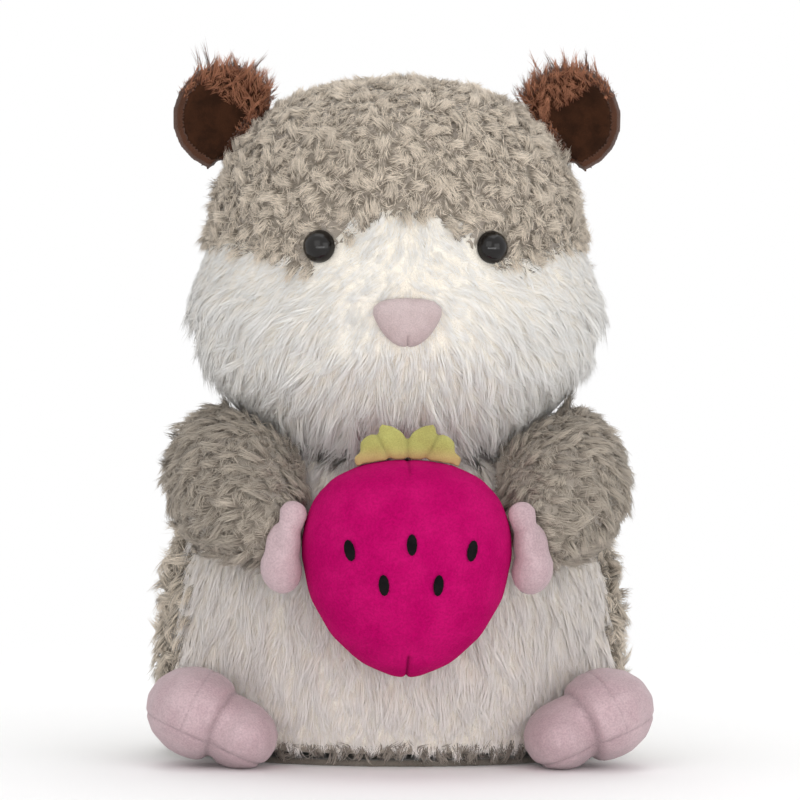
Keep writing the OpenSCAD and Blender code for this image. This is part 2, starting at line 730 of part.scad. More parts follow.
module paw(side) {
    color(pink_velour) on_side(side) difference() {
        union() {
            translate(paw) rotate([0, paw_lean, 0]) lobe([paw_half_w, paw_half_d, paw_half_h]);
            translate((paw + thumb) / 2) lobe([waist_half_w, paw_half_d - paw_forward, thumb_rise / 2]);
            translate(thumb) lobe([thumb_r, thumb_r, thumb_r]);
        }
        sleeve_form();
        fruit_form(soft_gap);
    }
}
module sleeve_left() { sleeve(-1); }
module sleeve_right() { sleeve(1); }
module paw_left() { paw(-1); }
module paw_right() { paw(1); }

// Feet: a large outer lobe and a smaller inner one, tipped up on the outside
heel_lift = 4;
toe_in = 3;
toe_forward = 4;
toe_sink = 0.5;
heel_x = body_half_w - foot_in;
heel = [heel_x, body_front(heel_x, heel_half_h) - foot_out + foot_half_l, heel_half_h + heel_lift];
toe = [heel.x - toe_half_w - toe_in, heel.y - toe_forward, toe_half_h - toe_sink];
module foot(side) {
    color(pink_velour) on_side(side) difference() {
        union() {
            translate(heel) rotate([0, -foot_tilt, 0]) lobe([heel_half_w, foot_half_l, heel_half_h]);
            translate(toe) rotate([0, -foot_tilt, 0]) lobe([toe_half_w, foot_half_l - toe_in, toe_half_h]);
        }
        body_form();
        translate([0, -far / 2, -far]) cube(far);
    }
}
module foot_left() { foot(-1); }
module foot_right() { foot(1); }

module fruit_body() {
    color(magenta_velour) difference() {
        fruit_form();
        body_form();
    }
}
// Seeds in two rows across the fruit's front, three above two, each turned a little outwards
seed_places = [[-27, 4], [0, 7], [27, 4], [-12, -11], [12, -11]];
seed_turn = 0.4;
seed_cols = 12;
module fruit_seeds() {
    outline = [for (t = ring_angles(seed_cols)) [seed_w / 2 * cos(t), seed_l / 2 * sin(t)]];
    color(black_gloss) difference() {
        intersection() {
            for (at = seed_places) translate([at.x, fruit_y, fruit_mid_z + at.y]) rotate([90, 0, 0])
                rotate([0, 0, -at.x * seed_turn]) linear_extrude(2 * fruit_half_d) polygon(outline);
            fruit_form(seed_out);
        }
        fruit_form();
    }
}
// The crown: pointed leaves that stand up from the fruit's top against the chin
crown_lean = 14;
crown_forward = 2;
crown_sink = 6;
leaf_turns = [-74, -28, 28, 74];
module leaf() {
    ball = (leaf_w * leaf_w + leaf_l * leaf_l) / (4 * leaf_w);
    intersection() {
        translate([ball - leaf_w / 2, 0]) circle(ball);
        translate([leaf_w / 2 - ball, 0]) circle(ball);
    }
}
module fruit_crown() {
    color(leaf_green) difference() {
        translate([0, fruit_y - crown_forward, fruit_top_z - crown_sink]) rotate([90 - crown_lean, 0, 0])
            linear_extrude(leaf_t, center = true)
            for (turn = leaf_turns) rotate([0, 0, turn]) translate([0, leaf_l / 2]) leaf();
        fruit_form();
        head_sweep(soft_gap);
    }
}

// Sound box, in a plan of X and Z about its middle. Its upper rear corners sit close to the flap
box_top_z = box_z + box_h / 2;
box_rear_y = (body_d(box_top_z) - plush) * swell(box_w / 2 / (body_w(box_top_z) - plush)) - box_back_gap;
box_split_y = box_rear_y - rear_d;
box_front_y = box_split_y - front_d;
box_low_z = box_z - box_h / 2;
boss_r = 3.2;
boss_lap = 0.5;
boss_x = box_w / 2 - box_wall - boss_r + boss_lap;
boss_z = box_h / 2 - box_wall - boss_r + boss_lap;
screw_r = 1.2;
head_r = 2.2;
head_t = 1.6;
slot_w = 0.6;
bay_w = 3 * (cell_d + hard_gap) + hard_gap;
contact_t = 0.5;
contact_spring = 3.5;
bay_h = cell_l + contact_spring + 2 * contact_t;
bay_x = -5;
bay_d = cell_d + hard_gap;
cover_t = 1.8;
cover_lip = 1.6;
cover_tab_w = 12;
cover_screw_up = 4.5;
cover_screw_z = bay_h / 2 + cover_screw_up;
floor_y = box_rear_y - cover_t - bay_d;
board_t = 1.4;
board_w = 40;
board_h = 30;
board_r = 2;
chip_size = [10, 8];
chip_t = 2;
board_y = floor_y - box_wall - board_t;
speaker_t = 7;
speaker_y = box_front_y + box_wall;
slider_edge = 8;
slider_x = box_w / 2 - slider_edge;
slider_w = 5;
slider_l = 8;
module rounded(w, h, r) {
    square([w - 2 * r, h], center = true);
    square([w, h - 2 * r], center = true);
    for (x = [-1, 1], y = [-1, 1]) translate([x * (w / 2 - r), y * (h / 2 - r)]) circle(r);
}
// A plate of the plan drawn in it, from y0 back to y1
module plate(y0, y1) {
    translate([0, y1, box_z]) rotate([90, 0, 0]) linear_extrude(y1 - y0) children();
}
module at_bosses() {
    for (x = [-1, 1], z = [-1, 1]) translate([x * boss_x, z * boss_z]) children();
}
module box_wall_plan() {
    difference() {
        rounded(box_w, box_h, box_r);
        rounded(box_w - 2 * box_wall, box_h - 2 * box_wall, box_r - box_wall);
    }
}
module box_front_shell() {
    pitch = 5;
    hole_r = 1.2;
    color(white_shell) difference() {
        union() {
            plate(box_front_y, box_split_y) box_wall_plan();
            plate(box_front_y, box_front_y + box_wall) rounded(box_w, box_h, box_r);
            plate(box_front_y, box_split_y) at_bosses() circle(boss_r);
        }
        plate(box_front_y - overlap, box_front_y + box_wall + overlap)
            for (x = [-2:2], z = [-2:2]) if (x * x + z * z < 6)
                translate([x * pitch, z * pitch]) circle(hole_r);
        plate(box_front_y - overlap, box_front_y + box_wall + overlap)
            translate([0, press_z - box_z]) circle(lead_d / 2 + hard_gap);
        plate(box_front_y + box_wall, box_split_y + overlap) at_bosses() circle(screw_r);
    }
}
// The cover's outline: over the bay and its lips, with a tab for its screw
module cover_plan(gap) {
    lip = 2 * (cover_lip - gap);
    translate([bay_x, 0]) square([bay_w + lip, bay_h + lip], center = true);
    translate([bay_x, bay_h / 2])
        square([cover_tab_w - 2 * gap, 2 * (cover_screw_up + boss_r - gap)], center = true);
}
module at_cover_screw() {
    translate([bay_x, cover_screw_z]) children();
}
module box_rear_shell() {
    color(white_shell) difference() {
        union() {
            plate(box_split_y, box_rear_y) box_wall_plan();
            plate(box_rear_y - box_wall, box_rear_y) rounded(box_w, box_h, box_r);
            plate(box_split_y, box_rear_y) at_bosses() circle(boss_r);
            plate(floor_y, box_rear_y) at_cover_screw() circle(boss_r);
            plate(floor_y - box_wall, box_rear_y) translate([bay_x, 0])
                square([bay_w + 2 * box_wall, bay_h + 2 * box_wall], center = true);
        }
        plate(floor_y, box_rear_y + overlap) translate([bay_x, 0]) square([bay_w, bay_h], center = true);
        plate(box_rear_y - cover_t, box_rear_y + overlap) cover_plan(0);
        plate(floor_y + box_wall, box_rear_y) at_cover_screw() circle(screw_r);
        plate(box_split_y - overlap, box_rear_y + overlap) at_bosses() circle(screw_r + hard_gap);
        plate(box_rear_y - head_t, box_rear_y + overlap) at_bosses() circle(head_r + hard_gap);
        plate(box_rear_y - box_wall - overlap, box_rear_y + overlap) translate([slider_x, slider_travel / 2])
            square([slider_w + 2 * hard_gap, slider_l + slider_travel + 2 * hard_gap], center = true);
    }
}
module battery_cover() {
    groove = 0.6;
    color(white_shell) difference() {
        plate(box_rear_y - cover_t, box_rear_y) cover_plan(hard_gap);
        plate(box_rear_y - cover_t - overlap, box_rear_y + overlap)
            at_cover_screw() circle(screw_r + hard_gap);
        plate(box_rear_y - groove, box_rear_y + overlap) translate([bay_x, -bay_h / 4])
            for (k = [-2:2]) translate([0, 5 * groove * k]) square([bay_w / 2, 2 * groove], center = true);
    }
}
module slotted_head() {
    difference() {
        circle(head_r);
        square([2 * head_r - head_t, slot_w], center = true);
    }
}
module cover_screw() {
    color(steel) {
        plate(box_rear_y, box_rear_y + head_t) at_cover_screw() slotted_head();
        plate(floor_y + box_wall + hard_gap, box_rear_y) at_cover_screw() circle(screw_r);
    }
}
module case_screws() {
    color(steel) {
        plate(box_rear_y - head_t, box_rear_y) at_bosses() slotted_head();
        plate(box_front_y + 2 * box_wall, box_rear_y - head_t) at_bosses() circle(screw_r);
    }
}
module at_cells() {
    for (k = [-1:1]) translate([bay_x + k * (cell_d + hard_gap), floor_y + bay_d / 2, box_z]) children();
}
module battery_cells() {
    nub_r = 1.9;
    nub_l = 1;
    color(steel) at_cells() translate([0, 0, bay_h / 2 - contact_t - cell_l]) {
        cylinder(d = cell_d, h = cell_l - nub_l);
        cylinder(r = nub_r, h = cell_l);
    }
}
module battery_contacts() {
    tab = 0.7 * cell_d;
    color(steel) at_cells() {
        translate([-tab / 2, -tab / 2, bay_h / 2 - contact_t]) cube([tab, tab, contact_t]);
        translate([-tab / 2, -tab / 2, -bay_h / 2]) cube([tab, tab, contact_t]);
        translate([0, 0, contact_t - bay_h / 2]) cylinder(d1 = tab, d2 = tab / 2, h = contact_spring);
    }
}
module circuit_board() {
    color(board_green) plate(board_y, board_y + board_t) rounded(board_w, board_h, board_r);
}
module sound_chip() {
    color(dark_shell) plate(board_y - chip_t, board_y) square(chip_size, center = true);
}
speaker_flange = 1.2;
speaker_rim = 3;
magnet_r = speaker_d / 4;
cone_d = speaker_flange + speaker_t / 2 - 1;
module on_speaker(y) {
    translate([0, speaker_y + y, box_z]) rotate([-90, 0, 0]) children();
}
module basket_hollow() {
    cylinder(r1 = speaker_d / 2 - speaker_rim, r2 = magnet_r, h = cone_d);
}
module speaker_basket() {
    color(steel) difference() {
        union() {
            on_speaker(0) cylinder(d = speaker_d, h = speaker_flange);
            on_speaker(speaker_flange)
                cylinder(r1 = speaker_d / 2 - speaker_rim / 2, r2 = magnet_r + 1, h = speaker_t / 2);
            on_speaker(speaker_flange + speaker_t / 2)
                cylinder(r = magnet_r, h = speaker_t / 2 - speaker_flange);
        }
        on_speaker(0) basket_hollow();
    }
}
module speaker_cone() {
    paper = 0.8;
    color(dark_shell) difference() {
        on_speaker(0) basket_hollow();
        on_speaker(-paper) basket_hollow();
    }
}
module power_slider() {
    flange_y = box_rear_y - box_wall - hard_gap;
    flange_t = 1.4;
    flange_out = 1;
    knob_out = 0.8;
    color(dark_shell) {
        plate(flange_y, box_rear_y + knob_out) translate([slider_x, 0])
            square([slider_w, slider_l], center = true);
        plate(flange_y - flange_t, flange_y) translate([slider_x, 0])
            square([slider_w + 2 * flange_out, slider_l + 2 * flange_out], center = true);
    }
}

// Press switch: a base cup, a button that faces the belly, and the spring between them
press_z = box_z + press_lift;
press_cap_t = 3;
press_wall = 2;
press_cap_r = press_d / 2 - press_wall - hard_gap;
press_lap = 1;
press_cover = 1;
press_front_y = body_front(0, press_z + press_d / 2) + plush + press_cover;
press_base_y = press_front_y + press_cap_t;
press_stem_r = 4;
spring_play = 1.8;
spring_r = press_stem_r + spring_play;
module on_press(y) {
    translate([0, y, press_z]) rotate([-90, 0, 0]) children();
}
module press_base() {
    color(white_shell) on_press(press_base_y) difference() {
        cylinder(d = press_d, h = press_base_d);
        translate([0, 0, -overlap])
            cylinder(r = press_d / 2 - press_wall, h = press_base_d - press_wall + overlap);
        translate([0, 0, -overlap]) cylinder(r = lead_d / 2, h = press_base_d + 2 * overlap);
    }
}
module press_button() {
    cap_h = press_cap_t + press_lap;
    stem_l = press_base_d - press_wall - press_travel - 2 * press_lap;
    color(dark_shell) on_press(press_front_y) {
        cylinder(r = press_cap_r, h = cap_h);
        translate([0, 0, cap_h]) cylinder(r = press_stem_r, h = stem_l);
    }
}
spring_sides = 6;
module press_spring() {
    steps = 8;
    length = press_base_d - press_wall - press_lap - spring_wire;
    rings = [for (k = [0:spring_turns * steps]) let (
        a = 360 * k / steps,
        rise = length * k / (spring_turns * steps),
        p = [spring_r * cos(a), spring_r * sin(a), spring_wire / 2 + rise],
        out = [cos(a), sin(a), 0],
        up = [0, 0, 1])
        [for (t = ring_angles(spring_sides)) p + spring_wire / 2 * (out * cos(t) + up * sin(t))]];
    start = [spring_r, 0, spring_wire / 2];
    color(steel) on_press(press_base_y + press_lap) loft_back(rings, start, start + [0, 0, length]);
}
// The spring's rings run the other way round its wire
module loft_back(rings, low, high) {
    faces = [for (f = loft_faces(len(rings[0]), len(rings))) [f[2], f[1], f[0]]];
    polyhedron(concat(flat(rings), [low, high]), faces, convexity = 12);
}
module switch_lead() {
    color(dark_shell) on_press(press_base_y + press_base_d - press_wall)
        cylinder(d = lead_d, h = box_front_y + box_wall - press_base_y - press_base_d + press_wall);
}

body_filling();
sole();
base_pad();
back_plush();
belly_plush();
back_flap();
hook_strip();
loop_strip();
head_filling();
neck_core();
head_cap();
muzzle();
nose();
eye_left();
eye_right();
eye_washers();
ear_back_left();
ear_back_right();
ear_lining_left();
ear_lining_right();
sleeve_left();
sleeve_right();
paw_left();
paw_right();
foot_left();
foot_right();
fruit_body();
fruit_crown();
fruit_seeds();
box_front_shell();
box_rear_shell();
battery_cover();
cover_screw();
case_screws();
battery_cells();
battery_contacts();
circuit_board();
sound_chip();
speaker_basket();
speaker_cone();
power_slider();
press_base();
press_button();
press_spring();
switch_lead();
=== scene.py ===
"""Seated plush hamster that hugs a plush fruit: camera, light, stuffing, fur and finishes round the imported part."""
import math
from dataclasses import dataclass, replace

import bmesh
import bpy
import numpy as np
from mathutils import Matrix, Quaternion, Vector
from mathutils.bvhtree import BVHTree


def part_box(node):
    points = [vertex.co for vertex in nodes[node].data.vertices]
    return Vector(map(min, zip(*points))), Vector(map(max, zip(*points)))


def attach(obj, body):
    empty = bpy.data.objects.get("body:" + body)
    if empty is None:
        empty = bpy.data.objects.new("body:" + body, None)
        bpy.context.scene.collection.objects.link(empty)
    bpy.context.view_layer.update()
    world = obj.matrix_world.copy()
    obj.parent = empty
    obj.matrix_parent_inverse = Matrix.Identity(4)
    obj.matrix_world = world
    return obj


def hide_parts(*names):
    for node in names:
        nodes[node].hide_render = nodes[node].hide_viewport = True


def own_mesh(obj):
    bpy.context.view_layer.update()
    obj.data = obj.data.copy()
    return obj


MM = 0.001
UP = np.array([0.0, 0.0, 1.0])

# Camera: a long lens, a little to the toy's own right and a little above it
PHOTO_SIDE = 800
MM_PER_PIXEL = 0.45
VIEW_AZIMUTH = math.radians(-3.6)
VIEW_ELEVATION = math.radians(3.5)
CAMERA_DISTANCE = 5.0
CAMERA_AIM = Vector((0.003, 0.0, 0.1590))
CAMERA_ROLL = math.radians(0.5)
SENSOR = 36.0


def set_camera():
    """The photograph's view."""
    lens = bpy.data.cameras.new("photo_camera")
    lens.sensor_width = SENSOR
    lens.lens = SENSOR * CAMERA_DISTANCE / (PHOTO_SIDE * MM_PER_PIXEL * MM)
    camera = bpy.data.objects.new("photo_camera", lens)
    back = Vector((
        math.sin(VIEW_AZIMUTH) * math.cos(VIEW_ELEVATION),
        -math.cos(VIEW_AZIMUTH) * math.cos(VIEW_ELEVATION),
        math.sin(VIEW_ELEVATION)))
    camera.location = CAMERA_AIM + CAMERA_DISTANCE * back
    camera.rotation_mode = "QUATERNION"
    camera.rotation_quaternion = (-back).to_track_quat("-Z", "Y") @ Quaternion((0.0, 0.0, 1.0), CAMERA_ROLL)
    bpy.context.scene.collection.objects.link(camera)
    bpy.context.scene.camera = camera


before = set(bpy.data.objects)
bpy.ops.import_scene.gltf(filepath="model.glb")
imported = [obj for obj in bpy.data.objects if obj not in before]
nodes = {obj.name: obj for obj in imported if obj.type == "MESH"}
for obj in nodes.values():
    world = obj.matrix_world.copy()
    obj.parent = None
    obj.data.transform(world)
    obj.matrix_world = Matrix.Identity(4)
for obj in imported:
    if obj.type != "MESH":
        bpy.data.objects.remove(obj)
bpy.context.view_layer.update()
set_camera()


# Node trees

def link_group(tree, group_name, **values):
    """A node group in a material's tree, with its inputs set or linked by name."""
    node = tree.nodes.new("ShaderNodeGroup")
    node.node_tree = bpy.data.node_groups[group_name]
    for name, value in values.items():
        connect(tree, value, node.inputs[name])
    return node


def connect(tree, value, socket):
    """Sets a socket to a plain value, or links it to another node's socket."""
    if isinstance(value, bpy.types.NodeSocket):
        tree.links.new(value, socket)
    elif isinstance(value, (tuple, list)) and len(value) == 3 and socket.type == "RGBA":
        socket.default_value = (*value, 1.0)
    else:
        socket.default_value = value


def add(tree, kind, inputs=None, **settings):
    """A node with its settings and inputs."""
    node = tree.nodes.new(kind)
    for name, value in settings.items():
        setattr(node, name, value)
    for name, value in (inputs or {}).items():
        connect(tree, value, node.inputs[name])
    return node


def new_group(name, inputs, outputs):
    """An empty node group with named sockets: a dict of name to socket kind and first value, and of name to kind."""
    tree = bpy.data.node_groups.new(name, "ShaderNodeTree")
    for label, (kind, value) in inputs.items():
        socket = tree.interface.new_socket(label, in_out="INPUT", socket_type="NodeSocket" + kind)
        socket.default_value = (*value, 1.0) if kind == "Color" else value
    for label, kind in outputs.items():
        tree.interface.new_socket(label, in_out="OUTPUT", socket_type="NodeSocket" + kind)
    return tree, tree.nodes.new("NodeGroupInput"), tree.nodes.new("NodeGroupOutput")


def math_node(tree, operation, first, second):
    """One step of arithmetic on two values or sockets."""
    node = add(tree, "ShaderNodeMath", operation=operation)
    connect(tree, first, node.inputs[0])
    connect(tree, second, node.inputs[1])
    return node.outputs[0]


def mix_colour(tree, share, first, second):
    """A share of the second colour in the first."""
    node = add(tree, "ShaderNodeMix", data_type="RGBA")
    connect(tree, share, node.inputs["Factor"])
    connect(tree, first, node.inputs["A"])
    connect(tree, second, node.inputs["B"])
    return node.outputs["Result"]


def span(tree, value, low, high, first, last):
    """A value's range from low to high, taken to first to last with soft ends."""
    node = add(tree, "ShaderNodeMapRange", interpolation_type="SMOOTHSTEP")
    for name, number in (("From Min", low), ("From Max", high), ("To Min", first), ("To Max", last)):
        node.inputs[name].default_value = number
    connect(tree, value, node.inputs["Value"])
    return node.outputs["Result"]


def make_pile_group():
    """Colour along a hair: dark root to light tip, each lock and each hair a little its own. The dark root is partly
    painted shade deep in the pile and partly the fur's own tone.
    """
    tree, given, result = new_group(
        "pile_colour",
        {"Root": ("Color", (0.1, 0.1, 0.1)), "Tip": ("Color", (0.5, 0.5, 0.5)), "Lock spread": ("Float", 0.2),
         "Hair spread": ("Float", 0.1)},
        {"Colour": "Color"})
    along = add(tree, "ShaderNodeAttribute", attribute_name="along").outputs["Fac"]
    lock = add(tree, "ShaderNodeAttribute", attribute_name="lock").outputs["Fac"]
    hair = add(tree, "ShaderNodeAttribute", attribute_name="hair").outputs["Fac"]
    # Root to tip: painted shade deep in the pile, and the fur's own tone
    tone = mix_colour(tree, span(tree, along, 0.0, 0.8, 0.0, 1.0), given.outputs["Root"], given.outputs["Tip"])
    lock_shift = math_node(tree, "MULTIPLY", math_node(tree, "SUBTRACT", lock, 0.5), given.outputs["Lock spread"])
    hair_shift = math_node(tree, "MULTIPLY", math_node(tree, "SUBTRACT", hair, 0.5), given.outputs["Hair spread"])
    level = math_node(tree, "ADD", 1.0, math_node(tree, "ADD", lock_shift, hair_shift))
    shade = add(tree, "ShaderNodeHueSaturation", {"Color": tone, "Value": level})
    tree.links.new(shade.outputs["Color"], result.inputs["Colour"])


def make_nap_group():
    """Short pile on cloth: fine fibres, slow brushed patches and painted shade in a seam's valley."""
    tree, given, result = new_group(
        "nap",
        {"Colour": ("Color", (0.5, 0.5, 0.5)), "Brushed": ("Color", (0.6, 0.6, 0.6)), "Fibre": ("Float", 1800.0),
         "Patch": ("Float", 60.0), "Valley": ("Float", 0.5)},
        {"Colour": "Color", "Height": "Float"})
    where = add(tree, "ShaderNodeTexCoord").outputs["Object"]
    fibre = add(tree, "ShaderNodeTexNoise", {"Vector": where, "Scale": given.outputs["Fibre"], "Detail": 3.0,
                                             "Roughness": 0.65}).outputs["Fac"]
    patch = add(tree, "ShaderNodeTexNoise", {"Vector": where, "Scale": given.outputs["Patch"], "Detail": 4.0,
                                             "Roughness": 0.6}).outputs["Fac"]
    # Painted shade along pressed seams and creases, read from the stuffed skin's seam attribute
    seam = add(tree, "ShaderNodeAttribute", attribute_name="seam").outputs["Fac"]
    brushed = mix_colour(tree, span(tree, patch, 0.35, 0.65, 0.0, 1.0), given.outputs["Colour"],
                         given.outputs["Brushed"])
    level = math_node(tree, "ADD", span(tree, fibre, 0.3, 0.7, 0.86, 1.1),
                      math_node(tree, "MULTIPLY", seam, math_node(tree, "MULTIPLY", given.outputs["Valley"], -1.0)))
    shade = add(tree, "ShaderNodeHueSaturation", {"Color": brushed, "Value": level})
    tree.links.new(shade.outputs["Color"], result.inputs["Colour"])
    tree.links.new(fibre, result.inputs["Height"])


def make_mould_group():
    """Moulded or drawn surface: faint grain in the gloss, and soft marks of handling."""
    tree, given, result = new_group(
        "mould",
        {"Colour": ("Color", (0.5, 0.5, 0.5)), "Worn": ("Color", (0.4, 0.4, 0.4)), "Gloss": ("Float", 0.4),
         "Grain": ("Float", 1500.0)},
        {"Colour": "Color", "Roughness": "Float", "Height": "Float"})
    where = add(tree, "ShaderNodeTexCoord").outputs["Object"]
    marks = add(tree, "ShaderNodeTexNoise", {"Vector": where, "Scale": 90.0, "Detail": 5.0}).outputs["Fac"]
    grain = add(tree, "ShaderNodeTexNoise", {"Vector": where, "Scale": given.outputs["Grain"]}).outputs["Fac"]
    tone = mix_colour(tree, span(tree, marks, 0.4, 0.75, 0.0, 0.6), given.outputs["Colour"], given.outputs["Worn"])
    rough = math_node(tree, "ADD", given.outputs["Gloss"], span(tree, marks, 0.3, 0.7, -0.05, 0.1))
    tree.links.new(tone, result.inputs["Colour"])
    tree.links.new(rough, result.inputs["Roughness"])
    tree.links.new(grain, result.inputs["Height"])


def material(name):
    """A new material, its tree and its shader."""
    made = bpy.data.materials.new(name)
    made.use_nodes = True
    return made, made.node_tree, made.node_tree.nodes["Principled BSDF"]


def bump(tree, shader, height, strength, depth):
    """A height laid into the shader's normal."""
    node = add(tree, "ShaderNodeBump", {"Height": height, "Strength": strength, "Distance": depth})
    tree.links.new(node.outputs["Normal"], shader.inputs["Normal"])


HAIR_ROUGH = 0.62
HAIR_SPECULAR = 0.22
HAIR_SHEEN = 0.12
NAP_BUMP = 0.6
NAP_SHEEN_ROUGH = 0.5
GRAIN_BUMP = 0.3
# Painted reflection: the magenta fruit's light, as an orange tint on the crown's lower edge that fades upward
PAINTED_LEAF_REFLECTION = (0.52, 0.25, 0.16)
PAINTED_LEAF_REFLECTION_SHARE = 0.45
PAINTED_LEAF_REFLECTION_FULL = 3.0 * MM
PAINTED_LEAF_REFLECTION_END = 10.0 * MM


def hair_material(name, root, tip, lock_spread, hair_spread):
    """Hair from a dark root to a light tip, the dark root partly painted shade deep in the pile and partly the fur's
    own tone.
    """
    made, tree, shader = material(name)
    group = link_group(tree, "pile_colour", **{"Root": root, "Tip": tip, "Lock spread": lock_spread,
                                               "Hair spread": hair_spread})
    tree.links.new(group.outputs["Colour"], shader.inputs["Base Color"])
    shader.inputs["Roughness"].default_value = HAIR_ROUGH
    shader.inputs["Specular IOR Level"].default_value = HAIR_SPECULAR
    shader.inputs["Sheen Weight"].default_value = HAIR_SHEEN
    return made


def cloth_material(name, colour, brushed, fibre=1800.0, patch=60.0, painted_seam_shade=0.5, rough=0.85, sheen=0.35, depth=0.0006,
                   specular=0.2):
    """Cloth with a short nap: velour, suede, backing, wool, tape or thread."""
    made, tree, shader = material(name)
    group = link_group(tree, "nap", Colour=colour, Brushed=brushed, Fibre=fibre, Patch=patch, Valley=painted_seam_shade)
    tree.links.new(group.outputs["Colour"], shader.inputs["Base Color"])
    bump(tree, shader, group.outputs["Height"], NAP_BUMP, depth)
    shader.inputs["Roughness"].default_value = rough
    shader.inputs["Specular IOR Level"].default_value = specular
    shader.inputs["Sheen Weight"].default_value = sheen
    shader.inputs["Sheen Roughness"].default_value = NAP_SHEEN_ROUGH
    return made


def leaf_material(name, colour, brushed, **settings):
    """Leaf velour, with a painted reflection of the magenta fruit towards its lower edge."""
    made = cloth_material(name, colour, brushed, **settings)
    tree = made.node_tree
    group = next(node for node in tree.nodes if node.type == "GROUP")
    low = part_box("fruit_crown")[0].z
    height = add(tree, "ShaderNodeSeparateXYZ", {0: add(tree, "ShaderNodeTexCoord").outputs["Object"]}).outputs["Z"]
    fruit_reflection = span(tree, height, low + PAINTED_LEAF_REFLECTION_FULL, low + PAINTED_LEAF_REFLECTION_END, PAINTED_LEAF_REFLECTION_SHARE, 0.0)
    tree.links.new(mix_colour(tree, fruit_reflection, group.outputs["Colour"], PAINTED_LEAF_REFLECTION),
                   tree.nodes["Principled BSDF"].inputs["Base Color"])
    return made


def hard_material(name, colour, worn, gloss, grain=1500.0, metal=0.0, depth=0.00005, specular=0.5):
    """Moulded plastic, metal or board."""
    made, tree, shader = material(name)
    group = link_group(tree, "mould", Colour=colour, Worn=worn, Gloss=gloss, Grain=grain)
    tree.links.new(group.outputs["Colour"], shader.inputs["Base Color"])
    tree.links.new(group.outputs["Roughness"], shader.inputs["Roughness"])
    bump(tree, shader, group.outputs["Height"], GRAIN_BUMP, depth)
    shader.inputs["Metallic"].default_value = metal
    shader.inputs["Specular IOR Level"].default_value = specular
    return made


make_pile_group()
make_nap_group()
make_mould_group()

GREY_HAIR = hair_material("grey_hair", (0.25, 0.21, 0.165), (0.86, 0.75, 0.62), 0.2, 0.12)
# The grey hair darkened evenly, as painted shade on the arms
SHADED_SLEEVE_HAIR = hair_material("sleeve_hair_painted_shade", (0.25, 0.21, 0.17), (0.54, 0.47, 0.39), 0.26, 0.12)
# The grey hair darkened evenly, as painted shade low on the base pad under the belly
SHADED_PAD_HAIR = hair_material("pad_hair_painted_shade", (0.20, 0.17, 0.145), (0.37, 0.32, 0.275), 0.25, 0.15)
CREAM_HAIR = hair_material("cream_hair", (0.94, 0.88, 0.79), (0.985, 0.97, 0.94), 0.05, 0.04)
# The cream hair darkened, as painted shade lower down on the belly
SHADED_BELLY_HAIR = hair_material("belly_hair_painted_shade", (0.82, 0.74, 0.65), (0.91, 0.86, 0.825), 0.06, 0.04)
RUST_HAIR = hair_material("rust_hair", (0.15, 0.05, 0.024), (0.44, 0.19, 0.105), 0.3, 0.25)
# The grey backing: its own grey, darkened as painted shade in the gaps between the tufts
GREY_CLOTH = cloth_material("grey_backing", (0.31, 0.27, 0.22), (0.38, 0.33, 0.28))
CREAM_CLOTH = cloth_material("cream_backing", (0.90, 0.83, 0.72), (0.94, 0.89, 0.80))
RUST_CLOTH = cloth_material("rust_backing", (0.055, 0.020, 0.009), (0.08, 0.029, 0.013))
SUEDE = cloth_material("brown_suede", (0.026, 0.0095, 0.004), (0.048, 0.0175, 0.0075), 2400.0, 110.0, 0.4, sheen=0.03,
                       specular=0.1)
PINK_VELOUR = cloth_material("pink_velour", (0.475, 0.34, 0.365), (0.545, 0.405, 0.43), 1100.0, painted_seam_shade=0.22, sheen=0.2)
NOSE_VELOUR = cloth_material("nose_velour", (0.515, 0.405, 0.405), (0.585, 0.475, 0.475), painted_seam_shade=0.3, sheen=0.2)
MAGENTA_VELOUR = cloth_material("magenta_velour", (0.41, 0.0012, 0.102), (0.475, 0.004, 0.122), 900.0, sheen=0.0,
                                specular=0.04)
LEAF_VELOUR = leaf_material("leaf_velour", (0.385, 0.355, 0.11), (0.455, 0.44, 0.138), sheen=0.15)
THREAD = cloth_material("black_thread", (0.004, 0.003, 0.004), (0.009, 0.007, 0.008), 3000.0, 200.0, 0.3, 0.6, 0.0,
                        specular=0.05)
WOOL = cloth_material("white_wool", (0.72, 0.70, 0.66), (0.80, 0.78, 0.75), 700.0, 90.0, 0.2, 0.95, 0.2, 0.002)
TAPE = cloth_material("closure_tape", (0.05, 0.05, 0.052), (0.075, 0.075, 0.078), 1300.0, 160.0, 0.2, 0.8, 0.1, 0.001)
SOLE_CLOTH = cloth_material("sole_cloth", (0.13, 0.11, 0.09), (0.18, 0.155, 0.13), 1100.0, 70.0, 0.3)
EYE_BLACK = hard_material("eye_black", (0.006, 0.0045, 0.004), (0.010, 0.008, 0.007), 0.12, 900.0, specular=0.35)
SHELL_WHITE = hard_material("white_shell", (0.72, 0.72, 0.70), (0.62, 0.62, 0.60), 0.38)
SHELL_DARK = hard_material("dark_shell", (0.030, 0.030, 0.032), (0.055, 0.055, 0.058), 0.40)
STEEL = hard_material("bright_steel", (0.56, 0.56, 0.55), (0.42, 0.41, 0.40), 0.30, 2500.0, 1.0)
CELL_SLEEVE = hard_material("cell_sleeve", (0.10, 0.10, 0.11), (0.16, 0.15, 0.14), 0.28)
BOARD_GREEN = hard_material("board_green", (0.02, 0.12, 0.05), (0.04, 0.17, 0.08), 0.35)
CONE_PAPER = cloth_material("cone_paper", (0.022, 0.022, 0.024), (0.04, 0.04, 0.042), 2600.0, 120.0, 0.2, 0.9, 0.1,
                            0.0003)
LEAD_BLACK = hard_material("lead_black", (0.015, 0.015, 0.016), (0.03, 0.03, 0.03), 0.5)


# Meshes

